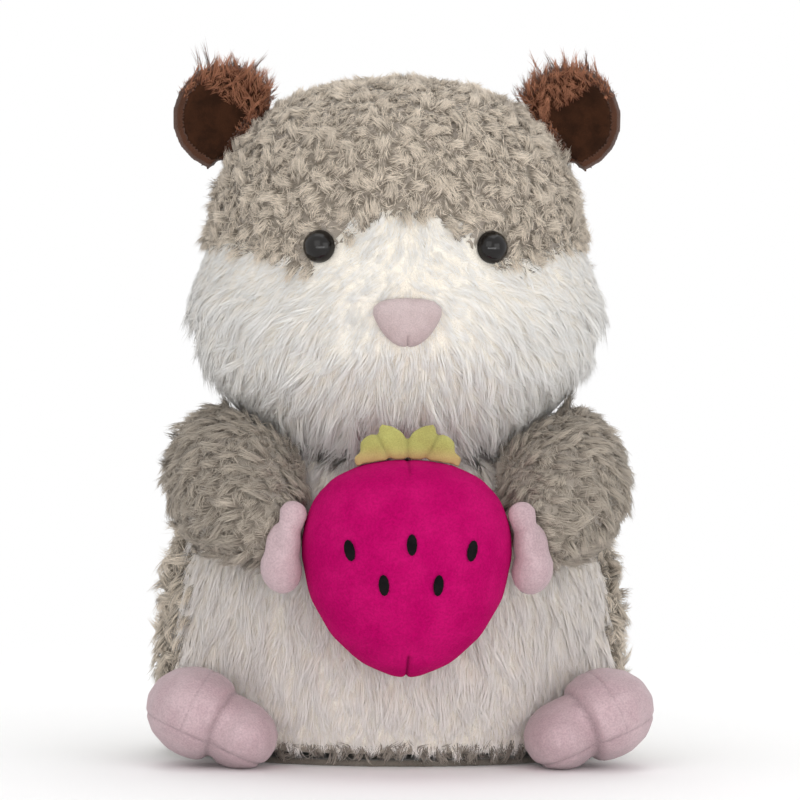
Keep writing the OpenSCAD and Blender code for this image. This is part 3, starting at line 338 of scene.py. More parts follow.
def joined(names):
    """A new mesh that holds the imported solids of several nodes."""
    work = bmesh.new()
    for name in names:
        work.from_mesh(nodes[name].data)
    made = bpy.data.meshes.new("joined")
    work.to_mesh(made)
    work.free()
    return made


def place(name, mesh, body, finish):
    """A piece in the scene, smooth shaded, with its finish, that rides on a body."""
    piece = bpy.data.objects.new(name, mesh)
    bpy.context.scene.collection.objects.link(piece)
    mesh.materials.clear()
    mesh.materials.append(finish)
    mesh.shade_smooth()
    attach(piece, body)
    return piece


def evaluated(mesh, *steps):
    """The mesh after some modifiers, each a kind and its settings."""
    work = bpy.data.objects.new("work", mesh)
    bpy.context.scene.collection.objects.link(work)
    for kind, settings in steps:
        modifier = work.modifiers.new(kind.lower(), kind)
        for label, value in settings.items():
            setattr(modifier, label, value)
    graph = bpy.context.evaluated_depsgraph_get()
    made = bpy.data.meshes.new_from_object(work.evaluated_get(graph))
    bpy.data.objects.remove(work)
    return made


def rounded_off(mesh, voxel, smooth):
    """One closed skin with even faces."""
    return evaluated(mesh, ("REMESH", {"mode": "VOXEL", "voxel_size": voxel * MM}),
                     ("SMOOTH", {"factor": 0.5, "iterations": smooth}))


def remeshed(names, voxel, smooth):
    """One closed skin round several nodes."""
    return rounded_off(joined(names), voxel, smooth)


def points_of(mesh):
    """The mesh's vertices, one row each."""
    out = np.empty(len(mesh.vertices) * 3)
    mesh.vertices.foreach_get("co", out)
    return out.reshape(-1, 3)


def normals_of(mesh):
    """The mesh's vertex normals, one row each."""
    out = np.empty(len(mesh.vertices) * 3)
    mesh.vertex_normals.foreach_get("vector", out)
    return out.reshape(-1, 3)


def put_points(mesh, points):
    """Moves the mesh's vertices."""
    mesh.vertices.foreach_set("co", np.ascontiguousarray(points, dtype=np.float32).ravel())
    mesh.update()


NEARLY_ZERO = 1e-9


def unit(vectors):
    """The vectors, each of length 1."""
    return vectors / np.maximum(np.linalg.norm(vectors, axis=-1, keepdims=True), NEARLY_ZERO)


class Solid:
    """The space that some nodes take up, to keep hair out of it."""

    def __init__(self, *names):
        work = bmesh.new()
        for name in names:
            work.from_mesh(nodes[name].data)
        self.tree = BVHTree.FromBMesh(work)
        points = np.array([v.co for v in work.verts])
        self.low, self.high = points.min(0), points.max(0)
        work.free()

    def depth(self, points):
        """How deep each point is in the solid, below 0 where it is outside, and the way out."""
        deep = np.full(len(points), -1.0)
        out = np.zeros_like(points)
        for k in np.flatnonzero(np.all((points > self.low) & (points < self.high), axis=1)):
            spot, normal, _, _ = self.tree.find_nearest(points[k])
            step = np.array(spot) - points[k]
            normal = np.array(normal)
            deep[k] = step @ normal
            out[k] = normal
        return deep, out


# Fur

@dataclass
class Pile:
    """A kind of fur, in millimetres and radians. The first pile of a piece gives the thickness of all its hairs.

    lift and lay are a hair's angle off the skin at its root and its tip, curl its most sideways turn, and wander the
    most turn of a whole lock. clump is how far a lock closes towards its tip, frizz how far a tip strays, plump how
    round a lock is, and droop a tip's fall as a share of its length.
    """
    length: float
    lift: float
    lay: float
    curl: float
    wander: float
    spacing: float
    hairs: int
    radius: float
    clump: float
    frizz: float
    thick: float = 0.0
    plump: float = 0.0
    droop: float = 0.0
    steps: int = 4


CURLY = Pile(length=9.4, lift=1.25, lay=0.3, curl=0.9, wander=1.6, spacing=5.2, hairs=62, radius=3.1, clump=0.25,
             thick=0.31, frizz=0.75, plump=1.1)
UNDER_CURLY = Pile(length=6.5, lift=0.9, lay=0.2, curl=1.4, wander=3.2, spacing=1.8, hairs=4, radius=1.2, clump=0.1,
                   frizz=0.6)
UNDER_BODY = replace(UNDER_CURLY, spacing=2.1, hairs=3)
SLEEVE = replace(CURLY, length=11.0, lift=0.95, lay=0.1, curl=0.8, wander=0.9, hairs=46, thick=0.35)
HEM = replace(CURLY, length=9.0, lift=0.7, lay=-0.3, wander=0.8, spacing=4.4, hairs=24, radius=2.4, plump=0.5,
              thick=0.36)
SIDES = replace(CURLY, length=12.0, spacing=5.6, hairs=42, thick=0.36)
COMBED = Pile(length=16.0, lift=0.36, lay=-0.06, curl=0.5, wander=0.35, spacing=3.6, hairs=24, radius=2.4, clump=0.42,
              thick=0.31, frizz=0.7, plump=0.35, droop=0.18)
UNDER_COMBED = Pile(length=8.5, lift=0.3, lay=0.05, curl=0.6, wander=0.7, spacing=2.0, hairs=3, radius=1.2,
                    clump=0.1, frizz=0.7)
EAR_FLUFF = Pile(length=6.5, lift=0.9, lay=0.4, curl=0.8, wander=0.9, spacing=1.7, hairs=7, radius=1.2, clump=0.3,
                 thick=0.26, frizz=0.8, plump=0.4)
EAR_WISPS = Pile(length=13.0, lift=0.75, lay=0.35, curl=0.4, wander=0.45, spacing=4.2, hairs=9, radius=1.2, clump=0.85,
                 frizz=0.5)

# Spread from lock to lock and from hair to hair, as shares or as strays in radians, and how much a plump lock rounds off
LOCK_LENGTHS = (0.65, 1.25)
HAIR_LENGTHS = (0.72, 1.06)
LOCK_LIFTS = (0.75, 1.2)
LIFT_STRAY = 0.08
LAY_STRAY = 0.18
CURL_STRAY = 0.12
ROUND_END = 0.3

# Hair beside a solid: a lock this near to it lies flat and short, and a hair pushed farther than this goes
PRESSED_GAP = 3.0 * MM
PRESSED_LIFT = 0.12
PRESSED_LENGTH = 0.6
MOST_PUSH = 4.0 * MM
HAIR_GAP = 0.4 * MM
FLOOR_GAP = 0.5 * MM

# A hair's own form, how far its shading leans to the skin's, and its cell in the bake map
HAIR_SIDES = 3
TIP_TAPER = 0.72
TAPER_BEND = 1.5
CLUMP_BEND = 0.8
SKIN_SHARE = 0.7
ROOT_ROW = 0.8
CELL_EDGE = 0.05
SWIRL = 26.0
TRIES_PER_SPOT = 5


class Skin:
    """A closed base that hair grows from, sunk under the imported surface, with each face given to a panel."""

    def __init__(self, names, voxel, sink, panels, smooth=4):
        self.mesh = remeshed(names, voxel, smooth)
        points = points_of(self.mesh) - sink * MM * normals_of(self.mesh)
        put_points(self.mesh, points)
        self.mesh = evaluated(self.mesh, ("TRIANGULATE", {}))
        self.points = points_of(self.mesh)
        self.normals = normals_of(self.mesh)
        corners = np.empty(len(self.mesh.polygons) * 3, dtype=np.int32)
        self.mesh.polygons.foreach_get("vertices", corners)
        self.faces = corners.reshape(-1, 3)
        middle = self.points[self.faces].mean(1)
        gaps = np.stack([self.gap(name, middle) for name in panels])
        self.panel = np.array(panels)[gaps.argmin(0)]

    @staticmethod
    def gap(name, points):
        """How far each point is from a node's surface."""
        work = bmesh.new()
        work.from_mesh(nodes[name].data)
        tree = BVHTree.FromBMesh(work)
        work.free()
        return np.array([tree.find_nearest(p)[3] for p in points])

    def backing(self, panel, thick):
        """The panel's own cloth, as a closed sheet."""
        work = bmesh.new()
        work.from_mesh(self.mesh)
        work.faces.ensure_lookup_table()
        other = [work.faces[k] for k in np.flatnonzero(self.panel != panel)]
        bmesh.ops.delete(work, geom=other, context="FACES")
        made = bpy.data.meshes.new(panel)
        work.to_mesh(made)
        work.free()
        return evaluated(made, ("SOLIDIFY", {"thickness": thick * MM, "offset": -1.0}))

    def scatter(self, panel, spacing, rng):
        """Evenly spread places on a panel, each with the skin's normal."""
        chosen = self.faces[self.panel == panel]
        a, b, c = (self.points[chosen[:, k]] for k in range(3))
        area = np.linalg.norm(np.cross(b - a, c - a), axis=1) / 2
        tries = int(TRIES_PER_SPOT * area.sum() / (spacing * MM) ** 2)
        pick = rng.choice(len(chosen), tries, p=area / area.sum())
        u, v = rng.random(tries), rng.random(tries)
        flip = u + v > 1
        u[flip], v[flip] = 1 - u[flip], 1 - v[flip]
        share = np.stack([1 - u - v, u, v], 1)[:, :, None]
        spots = (self.points[chosen[pick]] * share).sum(1)
        normals = unit((self.normals[chosen[pick]] * share).sum(1))
        keep = spread_out(spots, spacing * MM)
        return spots[keep], normals[keep]


def spread_out(spots, spacing):
    """The places that are left when each later one too close to an earlier one goes."""
    cells = {}
    keep = []
    grid = np.floor(spots / spacing).astype(int)
    around = [(i, j, k) for i in (-1, 0, 1) for j in (-1, 0, 1) for k in (-1, 0, 1)]
    limit = spacing * spacing
    for index, (cell, spot) in enumerate(zip(map(tuple, grid), spots)):
        free = True
        for step in around:
            for other in cells.get((cell[0] + step[0], cell[1] + step[1], cell[2] + step[2]), ()):
                gap = spots[other] - spot
                if gap @ gap < limit:
                    free = False
                    break
            if not free:
                break
        if free:
            cells.setdefault(cell, []).append(index)
            keep.append(index)
    return np.array(keep)


def tangent(ways, normals):
    """The ways laid into the skin."""
    return unit(ways - (ways * normals).sum(1, keepdims=True) * normals)


def grow(spots, normals, ways, pile, rng, pressed, long_share):
    """Points along each hair, and each hair's lock. long_share is each lock's share of the pile's length."""
    count = len(spots)
    turn = rng.uniform(-pile.wander, pile.wander, count)[:, None]
    ways = tangent(ways, normals)
    side = np.cross(normals, ways)
    ways, side = np.cos(turn) * ways + np.sin(turn) * side, np.cos(turn) * side - np.sin(turn) * ways
    lock = np.repeat(np.arange(count), pile.hairs)
    total = len(lock)
    angle = rng.uniform(0, 2 * math.pi, total)
    reach = pile.radius * MM * np.sqrt(rng.random(total))
    aside = (np.cos(angle) * reach)[:, None] * ways[lock] + (np.sin(angle) * reach)[:, None] * side[lock]
    length = (long_share * pile.length * MM * rng.uniform(*LOCK_LENGTHS, count))[lock]
    length = length * rng.uniform(*HAIR_LENGTHS, total)
    length = length * (1 - ROUND_END * pile.plump * (reach / (pile.radius * MM)) ** 2)
    lift = pile.lift * rng.uniform(*LOCK_LIFTS, count)[lock] + rng.normal(0, LIFT_STRAY, total)
    lay = pile.lay + rng.normal(0, LAY_STRAY, count)[lock]
    curl = (pile.curl * rng.uniform(-1, 1, count))[lock] + rng.normal(0, CURL_STRAY, total)
    held = np.where(pressed, PRESSED_LIFT, 1.0)[lock]
    lift, lay = lift * held, np.where(held < 1, np.abs(lay) * held, lay)
    length = np.where(held < 1, PRESSED_LENGTH, 1.0) * length
    frizz = rng.normal(0, pile.frizz * MM, (total, 3))
    step = length / (pile.steps - 1)
    place_now = spots[lock]
    points = [place_now + aside]
    for k in range(1, pile.steps):
        share = k / (pile.steps - 1)
        rise = (lift * (1 - share) + lay * share)[:, None]
        swing = (curl * share)[:, None]
        forward = np.cos(swing) * ways[lock] + np.sin(swing) * side[lock]
        place_now = place_now + step[:, None] * (np.cos(rise) * forward + np.sin(rise) * normals[lock])
        spread = aside * (1 - pile.clump * share ** CLUMP_BEND)
        fall = (pile.droop * length * share * share)[:, None] * UP
        points.append(place_now + spread + frizz * share * share - fall)
    return np.stack(points, 1), lock


def part_hair(points, solids):
    """Hair points pushed out of the solids, and which hairs can stay."""
    keep = np.ones(len(points), dtype=bool)
    for solid in solids:
        for k in range(points.shape[1]):
            deep, out = solid.depth(points[:, k])
            hit = deep > -HAIR_GAP / 2
            if k == 0:
                keep &= ~(deep > 0)
            else:
                points[hit, k] += (deep[hit] + HAIR_GAP)[:, None] * out[hit]
                keep &= deep < MOST_PUSH
    points[:, :, 2] = np.maximum(points[:, :, 2], FLOOR_GAP)
    return points, keep


def hair_mesh(points, lock, skin_normals, thick, rng):
    """Thin tapered three-sided hairs, closed at root and tip, each with its own cell in the bake map.
    Their shading leans to the skin's, as the soft mass of a pile does."""
    count, steps = points.shape[:2]
    along = unit(np.gradient(points, axis=1))
    across = unit(np.cross(along, unit(rng.normal(size=(count, 1, 3)))))
    over = np.cross(along, across)
    taper = thick * MM / 2 * (1 - TIP_TAPER * (np.arange(steps) / (steps - 1)) ** TAPER_BEND)
    corners = 2 * math.pi * np.arange(HAIR_SIDES) / HAIR_SIDES
    ring = (np.cos(corners)[:, None] * across[:, :, None, :] + np.sin(corners)[:, None] * over[:, :, None, :])
    ring = points[:, :, None, :] + taper[None, :, None, None] * ring
    rings = ring[:, :-1].reshape(count, -1, 3)
    verts = np.concatenate([rings, points[:, -1:, :]], 1)
    per = verts.shape[1]
    faces, cells = [], []
    rows = steps - 1
    for k in range(rows - 1):
        for i in range(HAIR_SIDES):
            j = (i + 1) % HAIR_SIDES
            a, b, c, d = (k * HAIR_SIDES + i, k * HAIR_SIDES + j, (k + 1) * HAIR_SIDES + j, (k + 1) * HAIR_SIDES + i)
            faces += [(a, b, c), (a, c, d)]
            cells += [((i, k), (i + 1, k), (i + 1, k + 1)), ((i, k), (i + 1, k + 1), (i, k + 1))]
    last = (rows - 1) * HAIR_SIDES
    for i in range(HAIR_SIDES):
        faces.append((last + i, last + (i + 1) % HAIR_SIDES, per - 1))
        cells.append(((i, rows - 1), (i + 1, rows - 1), (i + 0.5, rows)))
    faces.append((2, 1, 0))
    cells.append(((0, -0.6), (1, -0.6), (0.5, -0.1)))
    faces = np.array(faces)
    cells = (np.array(cells, dtype=float) + (0.0, ROOT_ROW)) / (HAIR_SIDES, rows + ROOT_ROW)
    index = (faces[None] + per * np.arange(count)[:, None, None]).reshape(-1)
    mesh = bpy.data.meshes.new("hair")
    mesh.vertices.add(count * per)
    mesh.vertices.foreach_set("co", verts.astype(np.float32).ravel())
    mesh.loops.add(len(index))
    mesh.loops.foreach_set("vertex_index", index.astype(np.int32))
    mesh.polygons.add(len(index) // 3)
    mesh.polygons.foreach_set("loop_start", np.arange(0, len(index), 3, dtype=np.int32))
    mesh.update(calc_edges=True)
    share = np.concatenate([np.repeat(np.arange(rows) / rows, HAIR_SIDES), [1.0]])
    lock_tone = rng.random(int(lock.max()) + 1 if count else 1)[lock]
    values = {"along": np.tile(share, count), "lock": np.repeat(lock_tone, per),
              "hair": np.repeat(rng.random(count), per)}
    for name, value in values.items():
        mesh.attributes.new(name, "FLOAT", "POINT").data.foreach_set("value", value.astype(np.float32))
    across_cells = math.ceil(math.sqrt(count))
    corner = np.stack([np.arange(count) % across_cells, np.arange(count) // across_cells], 1)
    uv = (corner[:, None, None, :] + CELL_EDGE + (1 - 2 * CELL_EDGE) * cells[None]) / across_cells
    layer = mesh.uv_layers.new(name="OFBake")
    layer.uv.foreach_set("vector", uv.astype(np.float32).ravel())
    mesh.shade_smooth()
    lean = unit((1 - SKIN_SHARE) * normals_of(mesh) + SKIN_SHARE * np.repeat(skin_normals, per, axis=0))
    mesh.normals_split_custom_set_from_vertices(lean)
    return mesh


def full_reach(spots):
    """The pile's whole length everywhere."""
    return np.ones(len(spots))


def fur(name, skin, panel, piles, way, solids, body, finish, seed, reach=full_reach, keep_at=None, bare=()):
    """One piece of fur on a panel, from its locks and its undercoat.

    bare lists round spots without hair, each as its middle, axis and radius.
    """
    rng = np.random.default_rng(seed)
    parts, locks, skin_normals, first = [], [], [], 0
    for pile in piles:
        spots, normals = skin.scatter(panel, pile.spacing, rng)
        if keep_at is not None:
            held = keep_at(spots)
            spots, normals = spots[held], normals[held]
        pressed = np.zeros(len(spots), dtype=bool)
        for solid in solids:
            pressed |= solid.depth(spots + PRESSED_GAP * normals)[0] > 0
        points, lock = grow(spots, normals, way(spots, normals), pile, rng, pressed, reach(spots))
        rounded = unit(normals[lock] + pile.plump * (points[:, 0] - spots[lock]) / (pile.radius * MM))
        points, stay = part_hair(points, solids)
        for middle, axis, radius in bare:
            off = points - middle
            across = off - (off @ axis)[..., None] * axis
            stay &= ~np.any((np.linalg.norm(across, axis=2) < radius) & (off @ axis > -radius), axis=1)
        parts.append(points[stay])
        locks.append(lock[stay] + first)
        skin_normals.append(rounded[stay])
        first += len(spots)
    mesh = hair_mesh(np.concatenate(parts), np.concatenate(locks), np.concatenate(skin_normals), piles[0].thick, rng)
    place(name, mesh, body, finish)


def tousled(spots, normals):
    """A lay that swirls from place to place, and hangs a little."""
    x, y, z = (spots * (2 * math.pi / (SWIRL * MM))).T
    return np.stack([np.sin(z + 1.7 * np.sin(0.8 * x)), np.sin(x + 1.3 * np.sin(0.7 * z)),
                     np.sin(0.9 * x + y + 1.5 * np.sin(0.6 * z)) - 0.45], 1)


def down_way(spots, normals):
    """Down, and a little outward."""
    return np.stack([2.0 * spots[:, 0], np.zeros(len(spots)), np.full(len(spots), -1.0)], 1)


def soft_step(values, start, end):
    """From 0 at the start to 1 at the end, with soft ends."""
    share = np.clip((values - start) / (end - start), 0, 1)
    return share * share * (3 - 2 * share)


BELLY_SHORT = 0.38
BELLY_FADE = 30.0 * MM


def belly_reach(spots):
    """Shorter towards the seam with the base pad."""
    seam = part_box("base_pad")[1].z
    return BELLY_SHORT + (1 - BELLY_SHORT) * soft_step(spots[:, 2], seam, seam + BELLY_FADE)


# Base skins, sunk so that the hair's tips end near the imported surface
BODY_PANELS = ["belly_plush", "back_plush", "back_flap", "base_pad"]
HEAD_PANELS = ["head_cap", "muzzle"]
SIDE_SIGNS = (("left", -1), ("right", 1))
SINK = 2.5
HEAD_SINK = 2.0
SLEEVE_SINK = 5.0
EAR_SINK = 0.6
SKIN_VOXEL = 2.5
EAR_VOXEL = 1.2
body_skin = Skin(["body_filling", *BODY_PANELS], SKIN_VOXEL, SINK, BODY_PANELS)
head_skin = Skin(["head_filling", *HEAD_PANELS], SKIN_VOXEL, HEAD_SINK, HEAD_PANELS)
sleeve_skins, ear_skins = {}, {}
for side, _ in SIDE_SIGNS:
    sleeve_skins[side] = Skin([f"sleeve_{side}"], SKIN_VOXEL, SLEEVE_SINK, [f"sleeve_{side}"])
    ear_panels = [f"ear_back_{side}", f"ear_lining_{side}"]
    ear_skins[side] = Skin(ear_panels, EAR_VOXEL, EAR_SINK, ear_panels, 3)

EYE_BARE = 7.4
CAP_TRIM = 0.35
CAP_TRIM_FROM, CAP_TRIM_FULL = 30.0 * MM, 5.0 * MM
CHEEK_FALL = 0.55
NOSE_SHORT = 0.5
NOSE_NEAR, CHEEK_FAR = 15.0 * MM, 50.0 * MM
BLAZE_SHORT = 0.55
BLAZE_FROM, BLAZE_FULL = 2.0 * MM, 12.0 * MM
CHIN_HANG = 0.8
CHIN_FROM, CHIN_FULL = 35.0 * MM, 10.0 * MM
BROW_ABOVE, BROW_HALF = 2.0 * MM, 5.0 * MM
BROW_SHORT = 0.5
nose_low, nose_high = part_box("nose")
nose_spot = np.array([(nose_low.x + nose_high.x) / 2, nose_high.y, nose_high.z])


def from_nose(spots, normals):
    """Out over the cheeks and down."""
    ways = unit(spots - nose_spot)
    ways[:, 2] = np.minimum(ways[:, 2], 0.0) - CHEEK_FALL
    return ways


def cap_reach(spots):
    """Shorter on top of the head."""
    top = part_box("head_cap")[1].z
    return 1 - CAP_TRIM * soft_step(spots[:, 2], top - CAP_TRIM_FROM, top - CAP_TRIM_FULL)


def muzzle_reach(spots):
    """Short on the blaze and round the nose, long on the cheeks and longest at the chin."""
    away = np.linalg.norm(spots - nose_spot, axis=1)
    near = NOSE_SHORT + (1 - NOSE_SHORT) * soft_step(away, NOSE_NEAR, CHEEK_FAR)
    below = soft_step(spots[:, 2], nose_high.z + BLAZE_FULL, nose_high.z + BLAZE_FROM)
    blaze = BLAZE_SHORT + (1 - BLAZE_SHORT) * below
    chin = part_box("muzzle")[0].z
    hang = 1 + CHIN_HANG * soft_step(spots[:, 2], chin + CHIN_FROM, chin + CHIN_FULL)
    brow = (np.abs(spots[:, 0]) < nose_high.x) & (np.abs(spots[:, 2] - nose_high.z - BROW_ABOVE) < BROW_HALF)
    return np.where(brow, BROW_SHORT, hang * near * blaze)


def eye_spots():
    """Each eye's middle, the way it looks and the bare ring round it."""
    spots = []
    for side in ("left", "right"):
        low, high = (np.array(corner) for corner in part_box(f"eye_{side}"))
        front = np.array([(low[0] + high[0]) / 2, low[1], (low[2] + high[2]) / 2])
        nearest = np.linalg.norm(head_skin.points - front, axis=1).argmin()
        spots.append((front, head_skin.normals[nearest], EYE_BARE * MM))
    return spots


def sleeve_way(spots, normals):
    """Outward over the arm and down."""
    return np.stack([1.2 * np.sign(spots[:, 0]), np.full(len(spots), -0.2), np.full(len(spots), -0.8)], 1)


fruit = Solid("fruit_body", "fruit_crown")
paws = Solid("paw_left", "paw_right")
feet = Solid("foot_left", "foot_right")
sleeves = Solid("sleeve_left", "sleeve_right")
skull = Solid("head_cap", "muzzle", "head_filling")
face = Solid("nose", "eye_left", "eye_right")
trunk = Solid("belly_plush", "back_plush", "base_pad", "back_flap", "body_filling")
ears = Solid("ear_back_left", "ear_back_right", "ear_lining_left", "ear_lining_right")

panels = [
    ("head_cap", head_skin, "head", "grey_fur", GREY_CLOTH, GREY_HAIR, (CURLY, UNDER_CURLY), tousled,
     (face, ears, trunk, sleeves)),
    ("muzzle", head_skin, "head", "cream_fur", CREAM_CLOTH, CREAM_HAIR, (COMBED, UNDER_COMBED), from_nose,
     (face, fruit, sleeves, paws, trunk)),
    ("belly_plush", body_skin, "body", "cream_fur", CREAM_CLOTH, SHADED_BELLY_HAIR, (COMBED, UNDER_COMBED), down_way,
     (fruit, paws, feet, sleeves, skull)),
    ("back_plush", body_skin, "body", "grey_fur", GREY_CLOTH, GREY_HAIR, (SIDES, UNDER_BODY), tousled,
     (sleeves, feet, skull)),
    ("back_flap", body_skin, "flap", "grey_fur", GREY_CLOTH, GREY_HAIR, (SIDES, UNDER_BODY), tousled, ()),
    ("base_pad", body_skin, "body", "grey_fur", GREY_CLOTH, SHADED_PAD_HAIR, (HEM, UNDER_BODY), down_way, (feet,)),
]
for side in ("left", "right"):
    panels.append((f"sleeve_{side}", sleeve_skins[side], f"arm_{side}", "grey_fur", GREY_CLOTH, SHADED_SLEEVE_HAIR,
                   (SLEEVE, UNDER_BODY), sleeve_way, (trunk, skull, fruit, paws)))

PAD_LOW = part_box("base_pad")[0].z
PAD_EDGE = 0.25
BACKING_THICK, BACKING_FILL = 1.6, 0.7
EAR_THICK, EAR_FILL = 0.8, 0.3
FIRST_SEED, EAR_SEED, ROLL_SEED = 100, 200, 210


def off_underside(spots):
    """The base pad's spots that aren't on its hidden underside."""
    return spots[:, 2] > PAD_LOW + (SINK + PAD_EDGE) * MM


kept_spots = {"base_pad": off_underside}
reaches = {"head_cap": cap_reach, "muzzle": muzzle_reach, "belly_plush": belly_reach}
for index, (panel, skin, body, slot, cloth, hair, piles, way, solids) in enumerate(panels):
    sheet = place(f"{panel}_cloth", skin.backing(panel, BACKING_THICK), body, cloth)
    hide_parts(panel)
    fur(f"{panel}_fur", skin, panel, piles, way, solids, body, hair, FIRST_SEED + index,
        reaches.get(panel, full_reach), kept_spots.get(panel), eye_spots() if skin is head_skin else ())


# Ears: a furred back whose upper inner edge rolls over the suede lining

ROLL_LEAN = np.array([0.55, 0.0, 0.85])
ROLL_START = 0.25
EAR_SHORT = 0.2
EAR_SHORT_TO, EAR_LONG_FROM = -0.1, 0.5
RIM_SHARE = 0.5


def ear_way(root, rolled):
    """From the ear's root out past its rim, and over the roll."""
    return lambda spots, normals: RIM_SHARE * unit(spots - root) + rolled


for side, sign in SIDE_SIGNS:
    skin = ear_skins[side]
    low, high = (np.array(corner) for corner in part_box(f"ear_back_{side}"))
    middle = (low + high) / 2
    root = np.array([low[0] if sign > 0 else high[0], middle[1], low[2]])
    body = f"ear_{side}"
    for panel, slot, cloth in ((f"ear_back_{side}", "rust_fur", RUST_CLOTH),
                               (f"ear_lining_{side}", "brown_suede", SUEDE)):
        sheet = place(f"{panel}_cloth", skin.backing(panel, EAR_THICK), body, cloth)
        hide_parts(panel)
    rolled = unit(ROLL_LEAN * (-sign, 1, 1))
    radius = (high[2] - low[2]) / 2

    def up_roll(spots):
        return (spots - middle) @ rolled / radius

    def on_roll(spots):
        return up_roll(spots) > ROLL_START

    def ear_reach(spots):
        return EAR_SHORT + (1 - EAR_SHORT) * soft_step(up_roll(spots), EAR_SHORT_TO, EAR_LONG_FROM)

    def off_front_rim(spots):
        return (up_roll(spots) > EAR_SHORT_TO) | (spots[:, 1] > middle[1])

    fur(f"ear_back_{side}_fur", skin, f"ear_back_{side}", (EAR_FLUFF, EAR_WISPS), ear_way(root, rolled), (), body,
        RUST_HAIR, EAR_SEED + sign, ear_reach, off_front_rim)
    fur(f"ear_roll_{side}_fur", skin, f"ear_lining_{side}", (EAR_FLUFF, EAR_WISPS), ear_way(root, rolled), (), body,
        RUST_HAIR, ROLL_SEED + sign, keep_at=on_roll)


# Stuffed velour pieces

CLOTH_FRAMES = 20
CLOTH_QUALITY = 5
STUFFING_PRESSURE = 4.0
# How narrow a seam's painted shade is, against the width of its dent
SEAM_LINE = 4.0


def inflated(mesh, cap):
    """The mesh blown up as a stuffed skin, no point farther than the cap from where it was."""
    work = bpy.data.objects.new("inflate", mesh)
    bpy.context.scene.collection.objects.link(work)
    cloth = work.modifiers.new("cloth", "CLOTH")
    cloth.settings.use_pressure = True
    cloth.settings.uniform_pressure_force = STUFFING_PRESSURE
    cloth.settings.effector_weights.gravity = 0.0
    cloth.settings.quality = CLOTH_QUALITY
    cloth.point_cache.frame_start, cloth.point_cache.frame_end = 1, CLOTH_FRAMES
    scene = bpy.context.scene
    for step in range(1, CLOTH_FRAMES + 1):
        scene.frame_set(step)
    graph = bpy.context.evaluated_depsgraph_get()
    blown = points_of(work.evaluated_get(graph).data)
    scene.frame_set(1)
    work.modifiers.clear()
    bpy.data.objects.remove(work)
    rest = points_of(mesh)
    move = blown - rest
    far = np.linalg.norm(move, axis=1, keepdims=True)
    put_points(mesh, rest + move * np.minimum(1.0, cap * MM / np.maximum(far, NEARLY_ZERO)))
    return mesh


@dataclass
class Seam:
    """A seam where a plane cuts a stuffed skin, with sizes in millimetres.

    runs tells where along the cut it is sewn, and shade how dark the painted shade in its groove is.
    """
    spot: np.ndarray
    across: np.ndarray
    runs: object
    depth: float
    width: float
    shade: float = 1.0


def sewn(mesh, seams):
    """Seams pressed into a stuffed skin, with the painted shade of each groove kept in its seam attribute."""
    points, normals = points_of(mesh), normals_of(mesh)
    dent, painted_seam_shade = np.zeros(len(points)), np.zeros(len(points))
    for seam in seams:
        off = (points - seam.spot) @ unit(seam.across) / (seam.width * MM)
        press = np.exp(-off * off) * seam.runs(points)
        dent = np.maximum(dent, seam.depth * MM * press)
        # Painted shade along the groove, for the nap's seam attribute
        painted_seam_shade = np.maximum(painted_seam_shade, seam.shade * np.exp(-SEAM_LINE * off * off) * seam.runs(points))
    put_points(mesh, points - dent[:, None] * normals)
    mesh.attributes.new("seam", "FLOAT", "POINT").data.foreach_set("value", painted_seam_shade.astype(np.float32))
    return mesh


def swollen(node, swells):
    """The node's shape with stuffing that bulges between its lobes: side, spot and size, as shares of its half box."""
    low, high = (np.array(corner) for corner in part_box(node))
    middle, half = (low + high) / 2, (high - low) / 2
    shape = bmesh.new()
    shape.from_mesh(joined([node]))
    for side, spot, size in swells:
        bulge = Matrix.Translation(middle + spot * (side, 1, 1) * half) @ Matrix.Diagonal((*(size * half), 1.0))
        bmesh.ops.create_uvsphere(shape, u_segments=24, v_segments=16, radius=1.0, matrix=bulge)
    mesh = bpy.data.meshes.new(f"{node}_shape")
    shape.to_mesh(mesh)
    shape.free()
    return mesh


def stuffed(node, voxel, body, finish, seams=(), cap=1.5, smooth=3, shape=None):
    """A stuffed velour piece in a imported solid's place."""
    mesh = inflated(rounded_off(shape or joined([node]), voxel, smooth), cap)
    mesh = sewn(evaluated(mesh, ("SUBSURF", {"levels": 1})), seams)
    put_points(mesh, np.maximum(points_of(mesh), (-1.0, -1.0, 0.0)))
    piece = place(f"{node}_velour", mesh, body, finish)
    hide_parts(node)


CREASE_STEP = 11.0
SWELL_SPOT = np.array([0.56, 0.0, -0.05])
SWELL_SIZE = np.array([0.34, 0.75, 0.62])
PALM_SPOT = np.array([0.12, 0.0, -0.08])
PALM_SIZE = np.array([0.68, 0.6, 0.62])
HEEL_SHARE = np.array([0.63, 0.5, 0.52])
TOE_SHARE = np.array([0.29, 0.44, 0.32])
GROOVE_SHARE = 0.62
SOLE_SEAM = 8.0 * MM
DART_FROM, DART_FULL = -9.0 * MM, -7.0 * MM


def everywhere(points):
    """A seam that is sewn all along its cut."""
    return 1.0


